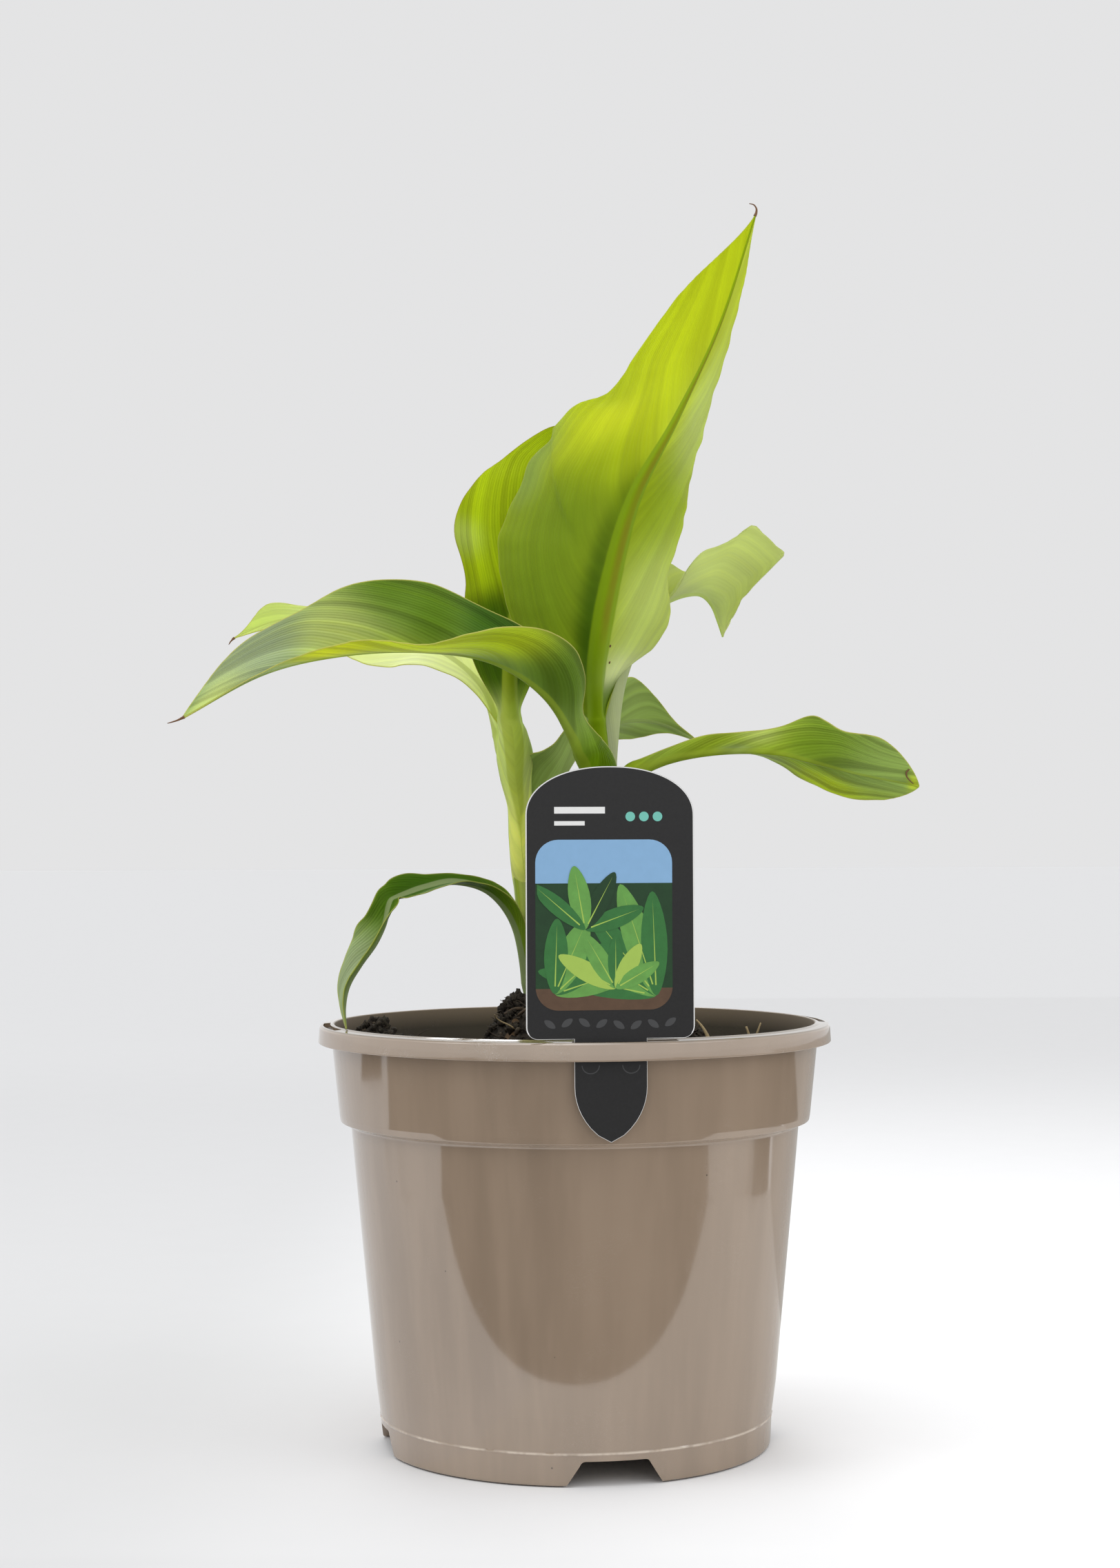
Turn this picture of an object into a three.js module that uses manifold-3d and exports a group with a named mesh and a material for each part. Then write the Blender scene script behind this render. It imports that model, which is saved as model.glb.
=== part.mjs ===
// A young banana plant with two pseudostems from one root, in a plastic nursery pot
// of compost, with a card plant label pushed into a slot of the rim.
// Millimetres, +Z up, the front of the pot towards -Y, the pot standing on z = 0.
import * as THREE from 'three';
import { mergeVertices } from 'three/addons/utils/BufferGeometryUtils.js';
import Module from 'manifold-3d';

const wasm = await Module();
wasm.setup();

// ------------------------------------------------------------------ driving sizes
const GAP = 0.35;               // clearance between neighbouring solids
const DEG = Math.PI / 180;

// Pot, 220 mm across the rim: radii and heights of its outer skin
const FOOT_R = 83.15;
const FLASH_R = 83.7, FLASH_Z = 12.85;
const BODY_R1 = 85.7, BODY_Z1 = 27;
const BODY_R2 = 93.9, BODY_Z2 = 113;
const LEDGE_R = 96, LEDGE_Z = 136;
const COLLAR_R1 = 100.7, COLLAR_Z1 = 138.1;
const COLLAR_R2 = 104.1, COLLAR_Z2 = 170;
const RIM_R = 110, RIM_LOW = 170.65, RIM_TOP = 178.07, RIM_TOP_R = 109.1;
const LIP_R = 103.9, LIP_Z = 178.8;
const WALL = 1.7;               // wall of body and collar
const SKIRT = 1.6;              // wall of the turned-down rim
const FLOOR_UNDER = 11.2, FLOOR_TOP = 13.4;
const FOOT_INNER = 80.4;        // inside of the foot ring
const POT_SIDES = 48;
const FEATURE_TURN = 11;        // the notches and slots stand at 11 degrees from the front, and every 90 from there
const NOTCH_HALF = 4.9, NOTCH_HEIGHT = 10;   // foot notch: half angle at the top in degrees, height
const SLOT_HALF = 11.5, SLOT_IN = 105, SLOT_OUT = 107.8;   // rim slot: half angle, radii
const DRAIN_R = 4.5, DRAIN_AT = 58, DRAINS = 8;

// Compost: level at the wall, mound at the stems, loose lumps [x, y, spread, height]
const SOIL_LEVEL = 160, SOIL_BOTTOM = 13.9;
const MOUND = { x: 4, y: 8, r: 36, soft: 16, h: 25 };
const LUMPS = [[-86, -6, 9, 14], [-70, -30, 14, 5], [-30, 8, 10, 6], [52, 22, 9, 12], [40, -45, 20, 4], [-20, -62, 18, 4], [64, 40, 12, 5], [10, 70, 24, 3], [-50, 55, 18, 3]];

// Card label: bottom centre of the card, turned to face along its place on the rim
const LABEL_TURN = 7.7, LABEL_R = 105.9, LABEL_T = 0.9;
const CARD_W = 66.5, CARD_Z0 = 179.3, CARD_H = 106.4, CARD_ARCH = 19.5, CARD_CORNER = 4.6;
const TONGUE_W = 27.6, TONGUE_LOW = 137.2, TONGUE_STRAIGHT = 159.5;

// Pseudostems: rows of [x, y, z, half width, half depth]
const STEM_MAIN = [[14.6, 4.5, 166, 13, 12], [14.1, 4, 182, 12.2, 11.2], [12.4, 1, 225, 10.4, 9.6], [10.9, -2, 258, 9.4, 8.6], [10.6, -3, 285, 8.8, 8]];
const STEM_SIDE = [[-12.6, 20, 166, 8.6, 8], [-13, 20, 182, 8, 7.4], [-18.4, 22.5, 222, 6.6, 6.2], [-22, 24.5, 250, 5.6, 5.4], [-23.3, 26, 271, 5.4, 5], [-25.6, 26, 292, 8.2, 5.4]];
const STEM_SIDES = 16, STEM_RINGS = 10;

// Leaves. rib: guide points of the midrib. w1, w2: half widths of the two halves along it.
// a1, a2: how steeply each half rises from the rib, in degrees. c1, c2: how far each half curls.
// tw: twist about the rib. up: the side that the leaf's upper face looks to. wide: how soon the
// base reaches full width. point: how much of the length the tip tapers over.
// petiole: rows of [x, y, z, half width, half depth] that end at the foot of the blade.
const LEAVES = {
  tall: {
    rib: [[10.3, -5, 308], [11.1, -14.5, 335.4], [16.9, -19, 368.5], [27, -19.5, 403], [45, -21.5, 436.5], [63.5, -23.5, 476], [78.4, -25.4, 522]],
    w1: [31.8, 40.8, 48.8, 59.6, 57.2, 43.7, 35.1, 20.4, 3], w2: [36.6, 40.2, 39.4, 33.1, 40, 33.7, 27.1, 16.7, 5.5],
    a1: [43, 23, 32, 42, 5], a2: [75, 45, 55, 66, 60], c1: [20, 25, 10], c2: [18, 20, 5], tw: [2, -4, 12],
    up: [0, 1, 0.15], wide: 0.3, point: 0.16, ridge: [3.4, 1.3],
    petiole: [[11.4, -3.6, 285.4, 5, 3.2], [10.9, -4, 296, 4.4, 3.2], [10.3, -5, 308, 3.6, 3]],
  },
  side_upright: {
    rib: [[-28, 27, 311.4], [-27.4, 26.6, 339.6], [-23.8, 27.4, 366], [-19.7, 27.6, 390], [-12.4, 27.8, 410.7], [-2.7, 28, 428.8], [11.2, 28, 442.3]],
    w1: [9.6, 18.7, 23.7, 26.2, 34.2, 31.4, 24.6, 19, 11.1], w2: [9.2, 17.3, 24.1, 28.5, 30.3, 28.6, 23.8, 17.2, 9.7],
    a1: [40, 24, 13, 16, 10], a2: [44, 35, 28, 21, 12], c1: [15, 20, 10], c2: [15, 20, 10], tw: [3, 4, 0],
    up: [0, 1, 0.1], wide: 0.22, point: 0.4, ridge: [3.4, 1.3],
    petiole: [[-25.9, 26, 292.4, 7.6, 3.6], [-27, 26, 302, 5.4, 3.6], [-28, 27, 311.4, 4, 3.2]],
  },
  left: {
    rib: [[1.9, -18.8, 294], [-12.8, -31, 316.3], [-34.1, -39.2, 330.5], [-61.2, -43.8, 335], [-93.5, -49.2, 333.3], [-126.8, -54.6, 325.3], [-160, -59.6, 307]],
    w1: [16.5, 20.1, 22.7, 23.7, 30.6, 30.9, 23.4, 21.6, 15.8], w2: [18.1, 23.4, 25.9, 25.9, 22.3, 16, 6.5, 2.5, 2],
    a1: [71, 58, 60, 59, 53], a2: [112, 65, 22, 46, 22], c1: [15, 10, 0], c2: [30, 30, 4], tw: [13, -13, -4],
    up: [0.45, 0, 1], wide: 0.2, point: 0.35, ridge: [3.2, 1.3],
    petiole: [[9.4, -8.6, 280, 7.6, 3], [9, -9.6, 286, 7.4, 3.2], [6.4, -14, 290, 6, 3.2], [1.9, -18.8, 294, 4, 3.2]],
  },
  back_left: {
    rib: [[-34.4, 44.4, 303.6], [-42.3, 51.1, 325.7], [-59.9, 62.4, 341.9], [-83.8, 72.4, 350.4], [-109.8, 80.9, 356.9], [-135.1, 85.7, 359.5], [-158.6, 84.1, 350.8]],
    w1: [11, 16.6, 21.2, 23.4, 22.5, 18.6, 13.1, 10.2, 2], w2: [7.4, 13.6, 20.9, 25.7, 25, 21.4, 16.2, 9.3, 2],
    a1: [41, 35, 25, 22, 70], a2: [20, -15, -34, -10, -4], c1: [-20, -25, -10], c2: [-20, -25, -10], tw: [16, -1, -13],
    up: [0.3, -0.1, 1], wide: 0.25, point: 0.3, ridge: [3, 1.2],
    petiole: [[-29.6, 33, 286, 3.6, 3], [-31.6, 37, 294, 3.4, 3], [-34.4, 44.4, 303.6, 3, 2.8]],
  },
  back_right: {
    rib: [[34, 44, 357.2], [42.5, 50.4, 363], [51.3, 57, 366.6], [58.4, 63, 367.4], [63, 66, 363.6], [65.8, 66, 357], [68.4, 64.3, 349.2]],
    w1: [13.4, 21.6, 29.5, 37.1, 40.9, 41, 28.5, 14, 2], w2: [18.9, 19.4, 18, 12.3, 12.1, 13, 12.2, 9.7, 4],
    a1: [67, 77, 75, 65, 44], a2: [58, 52, 43, 46, 42], c1: [-15, -20, -10], c2: [10, 10, 10], tw: [0, -7, -1],
    up: [0.7, -0.15, 0.8], wide: 0.3, point: 0.3, ridge: [1.6, 0.8],
    petiole: [[14.4, 3.8, 285.4, 5, 3], [14.8, 5, 303, 4.6, 2.8], [18.4, 14, 327, 3.4, 2.6], [25.5, 29, 345, 3, 2.6], [34, 44, 357.2, 2.7, 2.5]],
  },
  right: {
    rib: [[27, -14, 285.2], [46.8, -20, 290.7], [66.7, -25, 293.1], [84.9, -29.5, 292.5], [101.5, -33, 288.7], [120.6, -37.5, 283.5], [143.7, -41, 278.6]],
    w1: [8.8, 7.8, 8.8, 8.9, 11.5, 20, 18.8, 20.3, 17.1], w2: [6.7, 8.8, 11.1, 13.8, 16.6, 17.8, 17.5, 15.7, 14.9],
    a1: [36, 35, 32, -3, 15], a2: [74, 71, 42, 23, 13], c1: [20, 15, 10], c2: [20, 10, 10], tw: [2, -4, -6],
    up: [-0.1, 0.9, 0.7], wide: 0.3, point: 0.2, ridge: [3, 1.3],
    petiole: [[13, -7, 262, 3.6, 3], [18, -9.5, 272.5, 3.8, 3], [22, -11.6, 280, 3.6, 3], [27, -14, 285.2, 3.2, 2.8]],
  },
  cross: {
    rib: [[-19.7, 36.2, 267.3], [-5.7, 38.7, 283], [4, 42.2, 297.5], [15.3, 46.5, 306.9], [28.1, 51.6, 310.4], [41.7, 54.1, 308.5], [56.4, 56.1, 301.4]],
    w1: [19.5, 25.2, 21.1, 19.4, 20.1, 22.4, 13, 5, 4], w2: [11.1, 14.1, 16, 16.7, 16.5, 14.8, 10.6, 6, 5],
    a1: [86, 58, 50, 66, 44], a2: [10, -3, -18, -36, -20], c1: [20, 20, 10], c2: [-20, -20, -10], tw: [-8, -13, -16],
    up: [0, -0.2, 1], wide: 0.25, point: 0.35, ridge: [3, 1.2],
    petiole: [[-20.4, 26.5, 240, 3.4, 2.8], [-20.6, 31.5, 252, 3.4, 2.8], [-19.7, 36.2, 267.3, 3, 2.7]],
  },
  droop_arch: {
    rib: [[-21.4, 15.2, 194.6], [-26.8, 10.3, 218.9], [-36.8, 0.3, 233.4], [-50.5, -9.1, 238.3], [-63, -17, 236.3], [-71.7, -23, 233.4], [-77.6, -26.6, 230.9]],
    w1: [9.4, 10.7, 9.8, 6, 4.8, 6.1, 9, 9.1, 7], w2: [7.9, 8.6, 8.8, 8.5, 8.5, 8.7, 8.6, 8, 7],
    a1: [62, 54, 48, 48, 52], a2: [38, 34, 22, 18, 26], c1: [20, 20, 0], c2: [20, 10, 0], tw: [-1, -1, -2],
    up: [0.5, 0, 1], wide: 0.35, point: 0, ridge: [2.4, 1.4], ends: [0, 0.985],
    petiole: [[-15.4, 16.5, 178, 3.2, 2.6], [-18.6, 16.4, 186, 3.2, 2.6], [-21.4, 15.2, 194.6, 2.8, 2.4]],
  },
  droop_tip: {
    rib: [[-77.9, -26.8, 230.2], [-78.8, -30.8, 222.2], [-82.5, -35, 213.5], [-88.5, -38.1, 204.9], [-93.4, -40.2, 196.3], [-95, -42.4, 187.5], [-94.4, -44.6, 178.8]],
    w1: [7, 9.1, 11.7, 10.8, 9.2, 8.2, 6.2, 4.7, 3.2], w2: [7, 8.4, 9.9, 9.6, 8.7, 7.7, 6.1, 4.2, 2.7],
    a1: [53, 57, 49, 38, 29], a2: [30, 24, 22, 31, 22], c1: [15, 10, 0], c2: [15, 10, 0], tw: [-9, -13, -2],
    up: [-0.7, 0, 0.5], wide: 0, point: 0.6, ridge: [1.5, 1],
  },
};
const BLADE_T = 1.1;            // thickness of a blade between rib and margin
const BLADE_STEPS = 14;         // stations along a blade
const ACROSS = [0, 0.12, 0.55, 1];   // places across each half

// ------------------------------------------------------------------ materials
const paint = (color, roughness) => new THREE.MeshStandardMaterial({ color, roughness, metalness: 0 });
const POT_PAINT = () => paint(0x9c8f86, 0.3);
const SOIL_PAINT = () => paint(0x2b2622, 0.95);
const CARD_PAINT = () => paint(0x252425, 0.45);
const STEM_PAINT = () => paint(0x93a83c, 0.5);
const LEAF_PAINT = () => paint(0x6d8f2a, 0.5);

// ------------------------------------------------------------------ helpers
const V = (x, y, z) => new THREE.Vector3(x, y, z);

// A smooth run through evenly spaced values, at t from 0 to 1
function smooth(values, t) {
  const n = values.length;
  const x = Math.min(Math.max(t, 0), 1) * (n - 1);
  const i = Math.min(Math.floor(x), n - 2);
  const f = x - i;
  const b = values[i], c = values[i + 1];
  const a = i > 0 ? values[i - 1] : 2 * b - c;
  const d = i + 2 < n ? values[i + 2] : 2 * c - b;
  return 0.5 * (2 * b + (c - a) * f + (2 * a - 5 * b + 4 * c - d) * f * f + (3 * b - 3 * c + d - a) * f ** 3);
}
const smoothRows = (rows, t) => rows[0].map((_, k) => smooth(rows.map((r) => r[k]), t));

function toGeometry(positions, index) {
  const g = new THREE.BufferGeometry();
  g.setAttribute('position', new THREE.Float32BufferAttribute(positions, 3));
  g.setIndex(index);
  return g;
}

function toSolid(geometry) {
  let g = geometry.clone();
  g.deleteAttribute('normal');
  g.deleteAttribute('uv');
  g = mergeVertices(g, 1e-4);
  return new wasm.Manifold(new wasm.Mesh({
    numProp: 3,
    vertProperties: new Float32Array(g.attributes.position.array),
    triVerts: new Uint32Array(g.index.array),
  }));
}

function fromSolid(solid) {
  const m = solid.getMesh();
  return toGeometry(Array.from(m.vertProperties), Array.from(m.triVerts));
}

// ------------------------------------------------------------------ limbs
// An oval limb through rows of [x, y, z, half width, half depth], closed by flat ends.
// grow makes it fatter and longer all round, for cutting a clear space into a neighbour.
function limb(rows, { rings = 7, sides = 10, level = false, grow = 0 } = {}) {
  const pos = [], idx = [];
  const stations = [];
  for (let i = 0; i <= rings; i++) {
    const t = i / rings;
    const [x, y, z, rx, ry] = smoothRows(rows, t);
    const e = 1e-3;
    const a = smoothRows(rows, Math.max(0, t - e)), b = smoothRows(rows, Math.min(1, t + e));
    const dir = V(b[0] - a[0], b[1] - a[1], b[2] - a[2]).normalize();
    stations.push({ p: V(x, y, z), dir: level && (i === 0 || i === rings) ? V(0, 0, 1) : dir, rx: rx + grow, ry: ry + grow });
  }
  if (grow) {
    const s = stations[0], e = stations[rings];
    s.p.addScaledVector(s.dir, -grow);
    e.p.addScaledVector(e.dir, grow);
  }
  for (const s of stations) {
    const wide = V(1, 0, 0).addScaledVector(s.dir, -s.dir.x).normalize();
    const deep = new THREE.Vector3().crossVectors(s.dir, wide);
    for (let k = 0; k < sides; k++) {
      const q = (k / sides) * 2 * Math.PI;
      const p = s.p.clone().addScaledVector(wide, s.rx * Math.cos(q)).addScaledVector(deep, s.ry * Math.sin(q));
      pos.push(p.x, p.y, p.z);
    }
  }
  for (let i = 0; i < rings; i++) for (let k = 0; k < sides; k++) {
    const a = i * sides + k, b = i * sides + ((k + 1) % sides), c = a + sides, d = b + sides;
    idx.push(a, b, d, a, d, c);
  }
  for (let k = 1; k < sides - 1; k++) {
    idx.push(0, k + 1, k);
    const o = rings * sides;
    idx.push(o, o + k, o + k + 1);
  }
  return toGeometry(pos, idx);
}

// ------------------------------------------------------------------ blades
const widthAt = (t, wide, point) => {
  const b = wide ? Math.min(t / wide, 1) : 1;
  const e = point ? Math.min((1 - t) / point, 1) : 1;
  return Math.sqrt(1 - (1 - b) ** 2) * (e * (2 - e)) ** 0.75;
};

// The middle surface of a leaf: rows of points from one margin over the rib to the other
function leafSheet(leaf, steps) {
  const rib = (t) => V(...smoothRows(leaf.rib, t));
  const [t0, t1] = leaf.ends ?? [0.004, 0.985];
  const up = V(...leaf.up).normalize();
  const rows = [];
  for (let i = 0; i <= steps; i++) {
    const t = t0 + (t1 - t0) * (i / steps);
    const p = rib(t);
    const dir = rib(Math.min(1, t + 1e-3)).sub(rib(Math.max(0, t - 1e-3))).normalize();
    const n0 = up.clone().addScaledVector(dir, -up.dot(dir)).normalize();
    const s0 = new THREE.Vector3().crossVectors(dir, n0);
    const tw = smooth(leaf.tw, t) * DEG;
    const n = n0.clone().multiplyScalar(Math.cos(tw)).addScaledVector(s0, Math.sin(tw));
    const s = s0.clone().multiplyScalar(Math.cos(tw)).addScaledVector(n0, -Math.sin(tw));
    const half = (w, a, c, sign) => {
      const width = Math.max(0.9, smooth(w, t) * Math.max(0.06, widthAt(t, leaf.wide, leaf.point)));
      const out = [];
      let x = 0, z = 0;
      ACROSS.forEach((v, j) => {
        if (j) {
          const parts = 4, from = ACROSS[j - 1];
          for (let m = 0; m < parts; m++) {
            const mid = from + (v - from) * (m + 0.5) / parts;
            const q = (smooth(a, t) + smooth(c, t) * (mid - 0.5)) * DEG;
            x += Math.cos(q) * (v - from) / parts;
            z += Math.sin(q) * (v - from) / parts;
          }
        }
        out.push(p.clone().addScaledVector(s, sign * width * x).addScaledVector(n, width * z));
      });
      return out;
    };
    const one = half(leaf.w1, leaf.a1, leaf.c1, 1), two = half(leaf.w2, leaf.a2, leaf.c2, -1);
    rows.push({ t, points: [...two.reverse(), ...one.slice(1)] });
  }
  return rows;
}

// A blade as a closed thin shell with a ridge along the rib on its lower face
function blade(leaf, steps = BLADE_STEPS) {
  const rows = leafSheet(leaf, steps);
  const cols = rows[0].points.length, mid = (cols - 1) / 2;
  const top = [], low = [];
  rows.forEach(({ t, points }, i) => points.forEach((p, j) => {
    const a = rows[Math.max(0, i - 1)].points[j], b = rows[Math.min(steps, i + 1)].points[j];
    const c = points[Math.max(0, j - 1)], d = points[Math.min(cols - 1, j + 1)];
    const n = new THREE.Vector3().crossVectors(b.clone().sub(a), d.clone().sub(c)).normalize();
    // the columns run from the second half to the first, along +s, and the rows along the rib, so n looks up
    const ridge = j === mid ? leaf.ridge[0] + (leaf.ridge[1] - leaf.ridge[0]) * t : 0;
    top.push(p.clone().addScaledVector(n, BLADE_T / 2));
    low.push(p.clone().addScaledVector(n, -BLADE_T / 2 - ridge));
  }));
  const pos = [...top, ...low].flatMap((p) => [p.x, p.y, p.z]);
  const idx = [], o = top.length, at = (i, j) => i * cols + j;
  for (let i = 0; i < steps; i++) for (let j = 0; j < cols - 1; j++) {
    const a = at(i, j), b = at(i, j + 1), c = at(i + 1, j), d = at(i + 1, j + 1);
    idx.push(a, c, d, a, d, b, o + a, o + d, o + c, o + a, o + b, o + d);
  }
  for (let i = 0; i < steps; i++) for (const j of [0, cols - 1]) {
    const a = at(i, j), c = at(i + 1, j);
    if (j) idx.push(a, c, o + c, a, o + c, o + a);
    else idx.push(a, o + c, c, a, o + a, o + c);
  }
  for (let j = 0; j < cols - 1; j++) for (const i of [0, steps]) {
    const a = at(i, j), b = at(i, j + 1);
    if (i) idx.push(a, o + a, o + b, a, o + b, b);
    else idx.push(a, o + b, o + a, a, b, o + b);
  }
  return toGeometry(pos, idx);
}

// ------------------------------------------------------------------ pot
function ringSector(rIn, rOut, mid, half, z0, z1) {
  // a sector of a ring, mid measured from the front (-Y) towards +X
  const a0 = (mid - half - 90) * DEG, a1 = (mid + half - 90) * DEG;
  const shape = new THREE.Shape();
  shape.absarc(0, 0, rOut, a0, a1, false);
  shape.absarc(0, 0, rIn, a1, a0, true);
  shape.closePath();
  return new THREE.ExtrudeGeometry(shape, { depth: z1 - z0, bevelEnabled: false, curveSegments: 5 }).translate(0, 0, z0);
}

function potGeometry() {
  const inner = WALL;
  const profile = [
    [0, FLOOR_UNDER], [FOOT_INNER, FLOOR_UNDER], [FOOT_INNER, 0], [FOOT_R - 0.5, 0], [FOOT_R, 0.6],
    [FLASH_R, FLASH_Z], [BODY_R1, BODY_Z1], [BODY_R2, BODY_Z2], [LEDGE_R, LEDGE_Z], [COLLAR_R1, COLLAR_Z1],
    [COLLAR_R2, COLLAR_Z2], [COLLAR_R2 + 0.2, RIM_TOP - SKIRT], [RIM_R - SKIRT, RIM_TOP - SKIRT - 0.4], [RIM_R - SKIRT, RIM_LOW], [RIM_R, RIM_LOW],
    [RIM_TOP_R + 0.4, RIM_TOP - 0.6], [RIM_TOP_R - 0.4, RIM_TOP], [LIP_R, LIP_Z], [LIP_R - 0.9, LIP_Z - 0.3],
    [COLLAR_R2 - inner - 0.1, COLLAR_Z2], [COLLAR_R1 - inner, COLLAR_Z1], [LEDGE_R - inner, LEDGE_Z], [BODY_R2 - inner, BODY_Z2],
    [BODY_R1 - inner, BODY_Z1], [FLASH_R - inner, FLOOR_TOP], [0, FLOOR_TOP],
  ].map(([x, y]) => new THREE.Vector2(x, y));
  // the lathe turns about Y, so it is laid over to stand along Z
  const lathe = new THREE.LatheGeometry(profile, POT_SIDES).rotateX(Math.PI / 2);
  let solid = toSolid(lathe);
  for (let k = 0; k < 4; k++) {
    const turn = FEATURE_TURN + 90 * k;
    // foot notch with sloping sides
    const shape = new THREE.Shape();
    const w1 = FOOT_R * Math.sin(NOTCH_HALF * DEG) * 2 - 1, w0 = w1 + 6.5;
    shape.moveTo(-w0, -2);
    shape.lineTo(w0, -2);
    shape.lineTo(w0, 0);
    shape.lineTo(w1 + 1.2, NOTCH_HEIGHT - 2.2);
    shape.lineTo(w1 - 1, NOTCH_HEIGHT);
    shape.lineTo(-w1 + 1, NOTCH_HEIGHT);
    shape.lineTo(-w1 - 1.2, NOTCH_HEIGHT - 2.2);
    shape.lineTo(-w0, 0);
    shape.closePath();
    const cut = new THREE.ExtrudeGeometry(shape, { depth: 12, bevelEnabled: false })
      .rotateX(Math.PI / 2).translate(0, -FOOT_R + 10, 0).rotateZ(turn * DEG);
    solid = solid.subtract(toSolid(cut));
    solid = solid.subtract(toSolid(ringSector(SLOT_IN, SLOT_OUT, turn, SLOT_HALF, RIM_TOP - 4, LIP_Z + 2)));
  }
  for (let k = 0; k < DRAINS; k++) {
    const q = ((k + 0.5) / DRAINS) * 2 * Math.PI;
    const hole = new THREE.CylinderGeometry(DRAIN_R, DRAIN_R, 8, 10).rotateX(Math.PI / 2)
      .translate(DRAIN_AT * Math.cos(q), DRAIN_AT * Math.sin(q), (FLOOR_UNDER + FLOOR_TOP) / 2);
    solid = solid.subtract(toSolid(hole));
  }
  return fromSolid(solid);
}

// ------------------------------------------------------------------ compost
function soilHeight(x, y) {
  const bump = (cx, cy, r, h) => h * Math.exp(-(((x - cx) ** 2 + (y - cy) ** 2) / (r * r)));
  const d = Math.hypot(x - MOUND.x, y - MOUND.y);
  let z = SOIL_LEVEL + MOUND.h / (1 + Math.exp((d - MOUND.r) / (MOUND.soft / 4)));
  for (const [cx, cy, r, h] of LUMPS) z += bump(cx, cy, r, h);
  return z;
}

// inner radius of the pot wall at a height
function wallInside(z) {
  const rows = [[FLOOR_TOP, FLASH_R], [BODY_Z1, BODY_R1], [BODY_Z2, BODY_R2], [LEDGE_Z, LEDGE_R], [COLLAR_Z1, COLLAR_R1], [COLLAR_Z2, COLLAR_R2 - 0.1], [LIP_Z, LIP_R]];
  for (let i = 1; i < rows.length; i++) if (z <= rows[i][0]) {
    const [z0, r0] = rows[i - 1], [z1, r1] = rows[i];
    return r0 + (r1 - r0) * Math.max(0, (z - z0) / (z1 - z0)) - WALL;
  }
  return LIP_R - WALL;
}

function compostGeometry(cuts) {
  const around = POT_SIDES, radii = [0.14, 0.3, 0.42, 0.54, 0.72, 0.88, 1];
  const pos = [], idx = [];
  const turn = (k) => ((k + 0.5) / around) * 2 * Math.PI;
  const shrink = GAP + 0.35;     // the wall is faceted, so the compost keeps clear of its chords
  const levels = [SOIL_BOTTOM, BODY_Z1, BODY_Z2, LEDGE_Z, COLLAR_Z1 + 0.6];
  pos.push(0, 0, SOIL_BOTTOM);
  for (const z of levels) for (let k = 0; k < around; k++) {
    const r = wallInside(z) - shrink;
    pos.push(r * Math.cos(turn(k)), r * Math.sin(turn(k)), z);
  }
  for (const f of [...radii].reverse()) for (let k = 0; k < around; k++) {
    const rEdge = wallInside(SOIL_LEVEL) - shrink;
    const x = rEdge * f * Math.cos(turn(k)), y = rEdge * f * Math.sin(turn(k));
    pos.push(x, y, soilHeight(x, y));
  }
  pos.push(0, 0, soilHeight(0, 0));
  const rings = levels.length + radii.length;
  for (let k = 0; k < around; k++) {
    const n = (k + 1) % around;
    idx.push(0, 1 + n, 1 + k);
    for (let i = 0; i < rings - 1; i++) {
      const a = 1 + i * around + k, b = 1 + i * around + n;
      idx.push(a, b, b + around, a, b + around, a + around);
    }
    const o = 1 + (rings - 1) * around;
    idx.push(o + k, o + n, o + around);
  }
  let solid = toSolid(toGeometry(pos, idx));
  for (const cut of cuts) solid = solid.subtract(toSolid(cut));
  return fromSolid(solid);
}

// ------------------------------------------------------------------ label
function labelGeometry() {
  const w = CARD_W / 2, top = CARD_Z0 + CARD_H, shoulder = top - CARD_ARCH, c = CARD_CORNER, tw = TONGUE_W / 2;
  const shape = new THREE.Shape();
  shape.moveTo(-w + c, CARD_Z0);
  shape.lineTo(-tw, CARD_Z0);
  shape.lineTo(-tw, TONGUE_STRAIGHT);
  shape.bezierCurveTo(-tw, TONGUE_STRAIGHT - 9, -tw + 5, TONGUE_LOW + 5, 0, TONGUE_LOW);
  shape.bezierCurveTo(tw - 5, TONGUE_LOW + 5, tw, TONGUE_STRAIGHT - 9, tw, TONGUE_STRAIGHT);
  shape.lineTo(tw, CARD_Z0);
  shape.lineTo(w - c, CARD_Z0);
  shape.absarc(w - c, CARD_Z0 + c, c, -Math.PI / 2, 0, false);
  shape.lineTo(w, shoulder);
  shape.bezierCurveTo(w, shoulder + CARD_ARCH * 0.62, w * 0.55, top, 0, top);
  shape.bezierCurveTo(-w * 0.55, top, -w, shoulder + CARD_ARCH * 0.62, -w, shoulder);
  shape.lineTo(-w, CARD_Z0 + c);
  shape.absarc(-w + c, CARD_Z0 + c, c, Math.PI, 1.5 * Math.PI, false);
  return new THREE.ExtrudeGeometry(shape, { depth: LABEL_T, bevelEnabled: false, curveSegments: 7 })
    .translate(0, 0, -LABEL_T / 2).rotateX(Math.PI / 2).translate(0, -LABEL_R, 0).rotateZ(LABEL_TURN * DEG);
}

// ------------------------------------------------------------------ the plant
const plant = new THREE.Group();
function add(name, geometry, material) {
  let g = geometry;
  if (!g.index) g = mergeVertices(g);
  g.computeVertexNormals();
  const mesh = new THREE.Mesh(g, material);
  mesh.name = name;
  plant.add(mesh);
}

const stemShape = { rings: STEM_RINGS, sides: STEM_SIDES, level: true };
const petioleShape = { rings: 6, sides: 8 };

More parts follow.
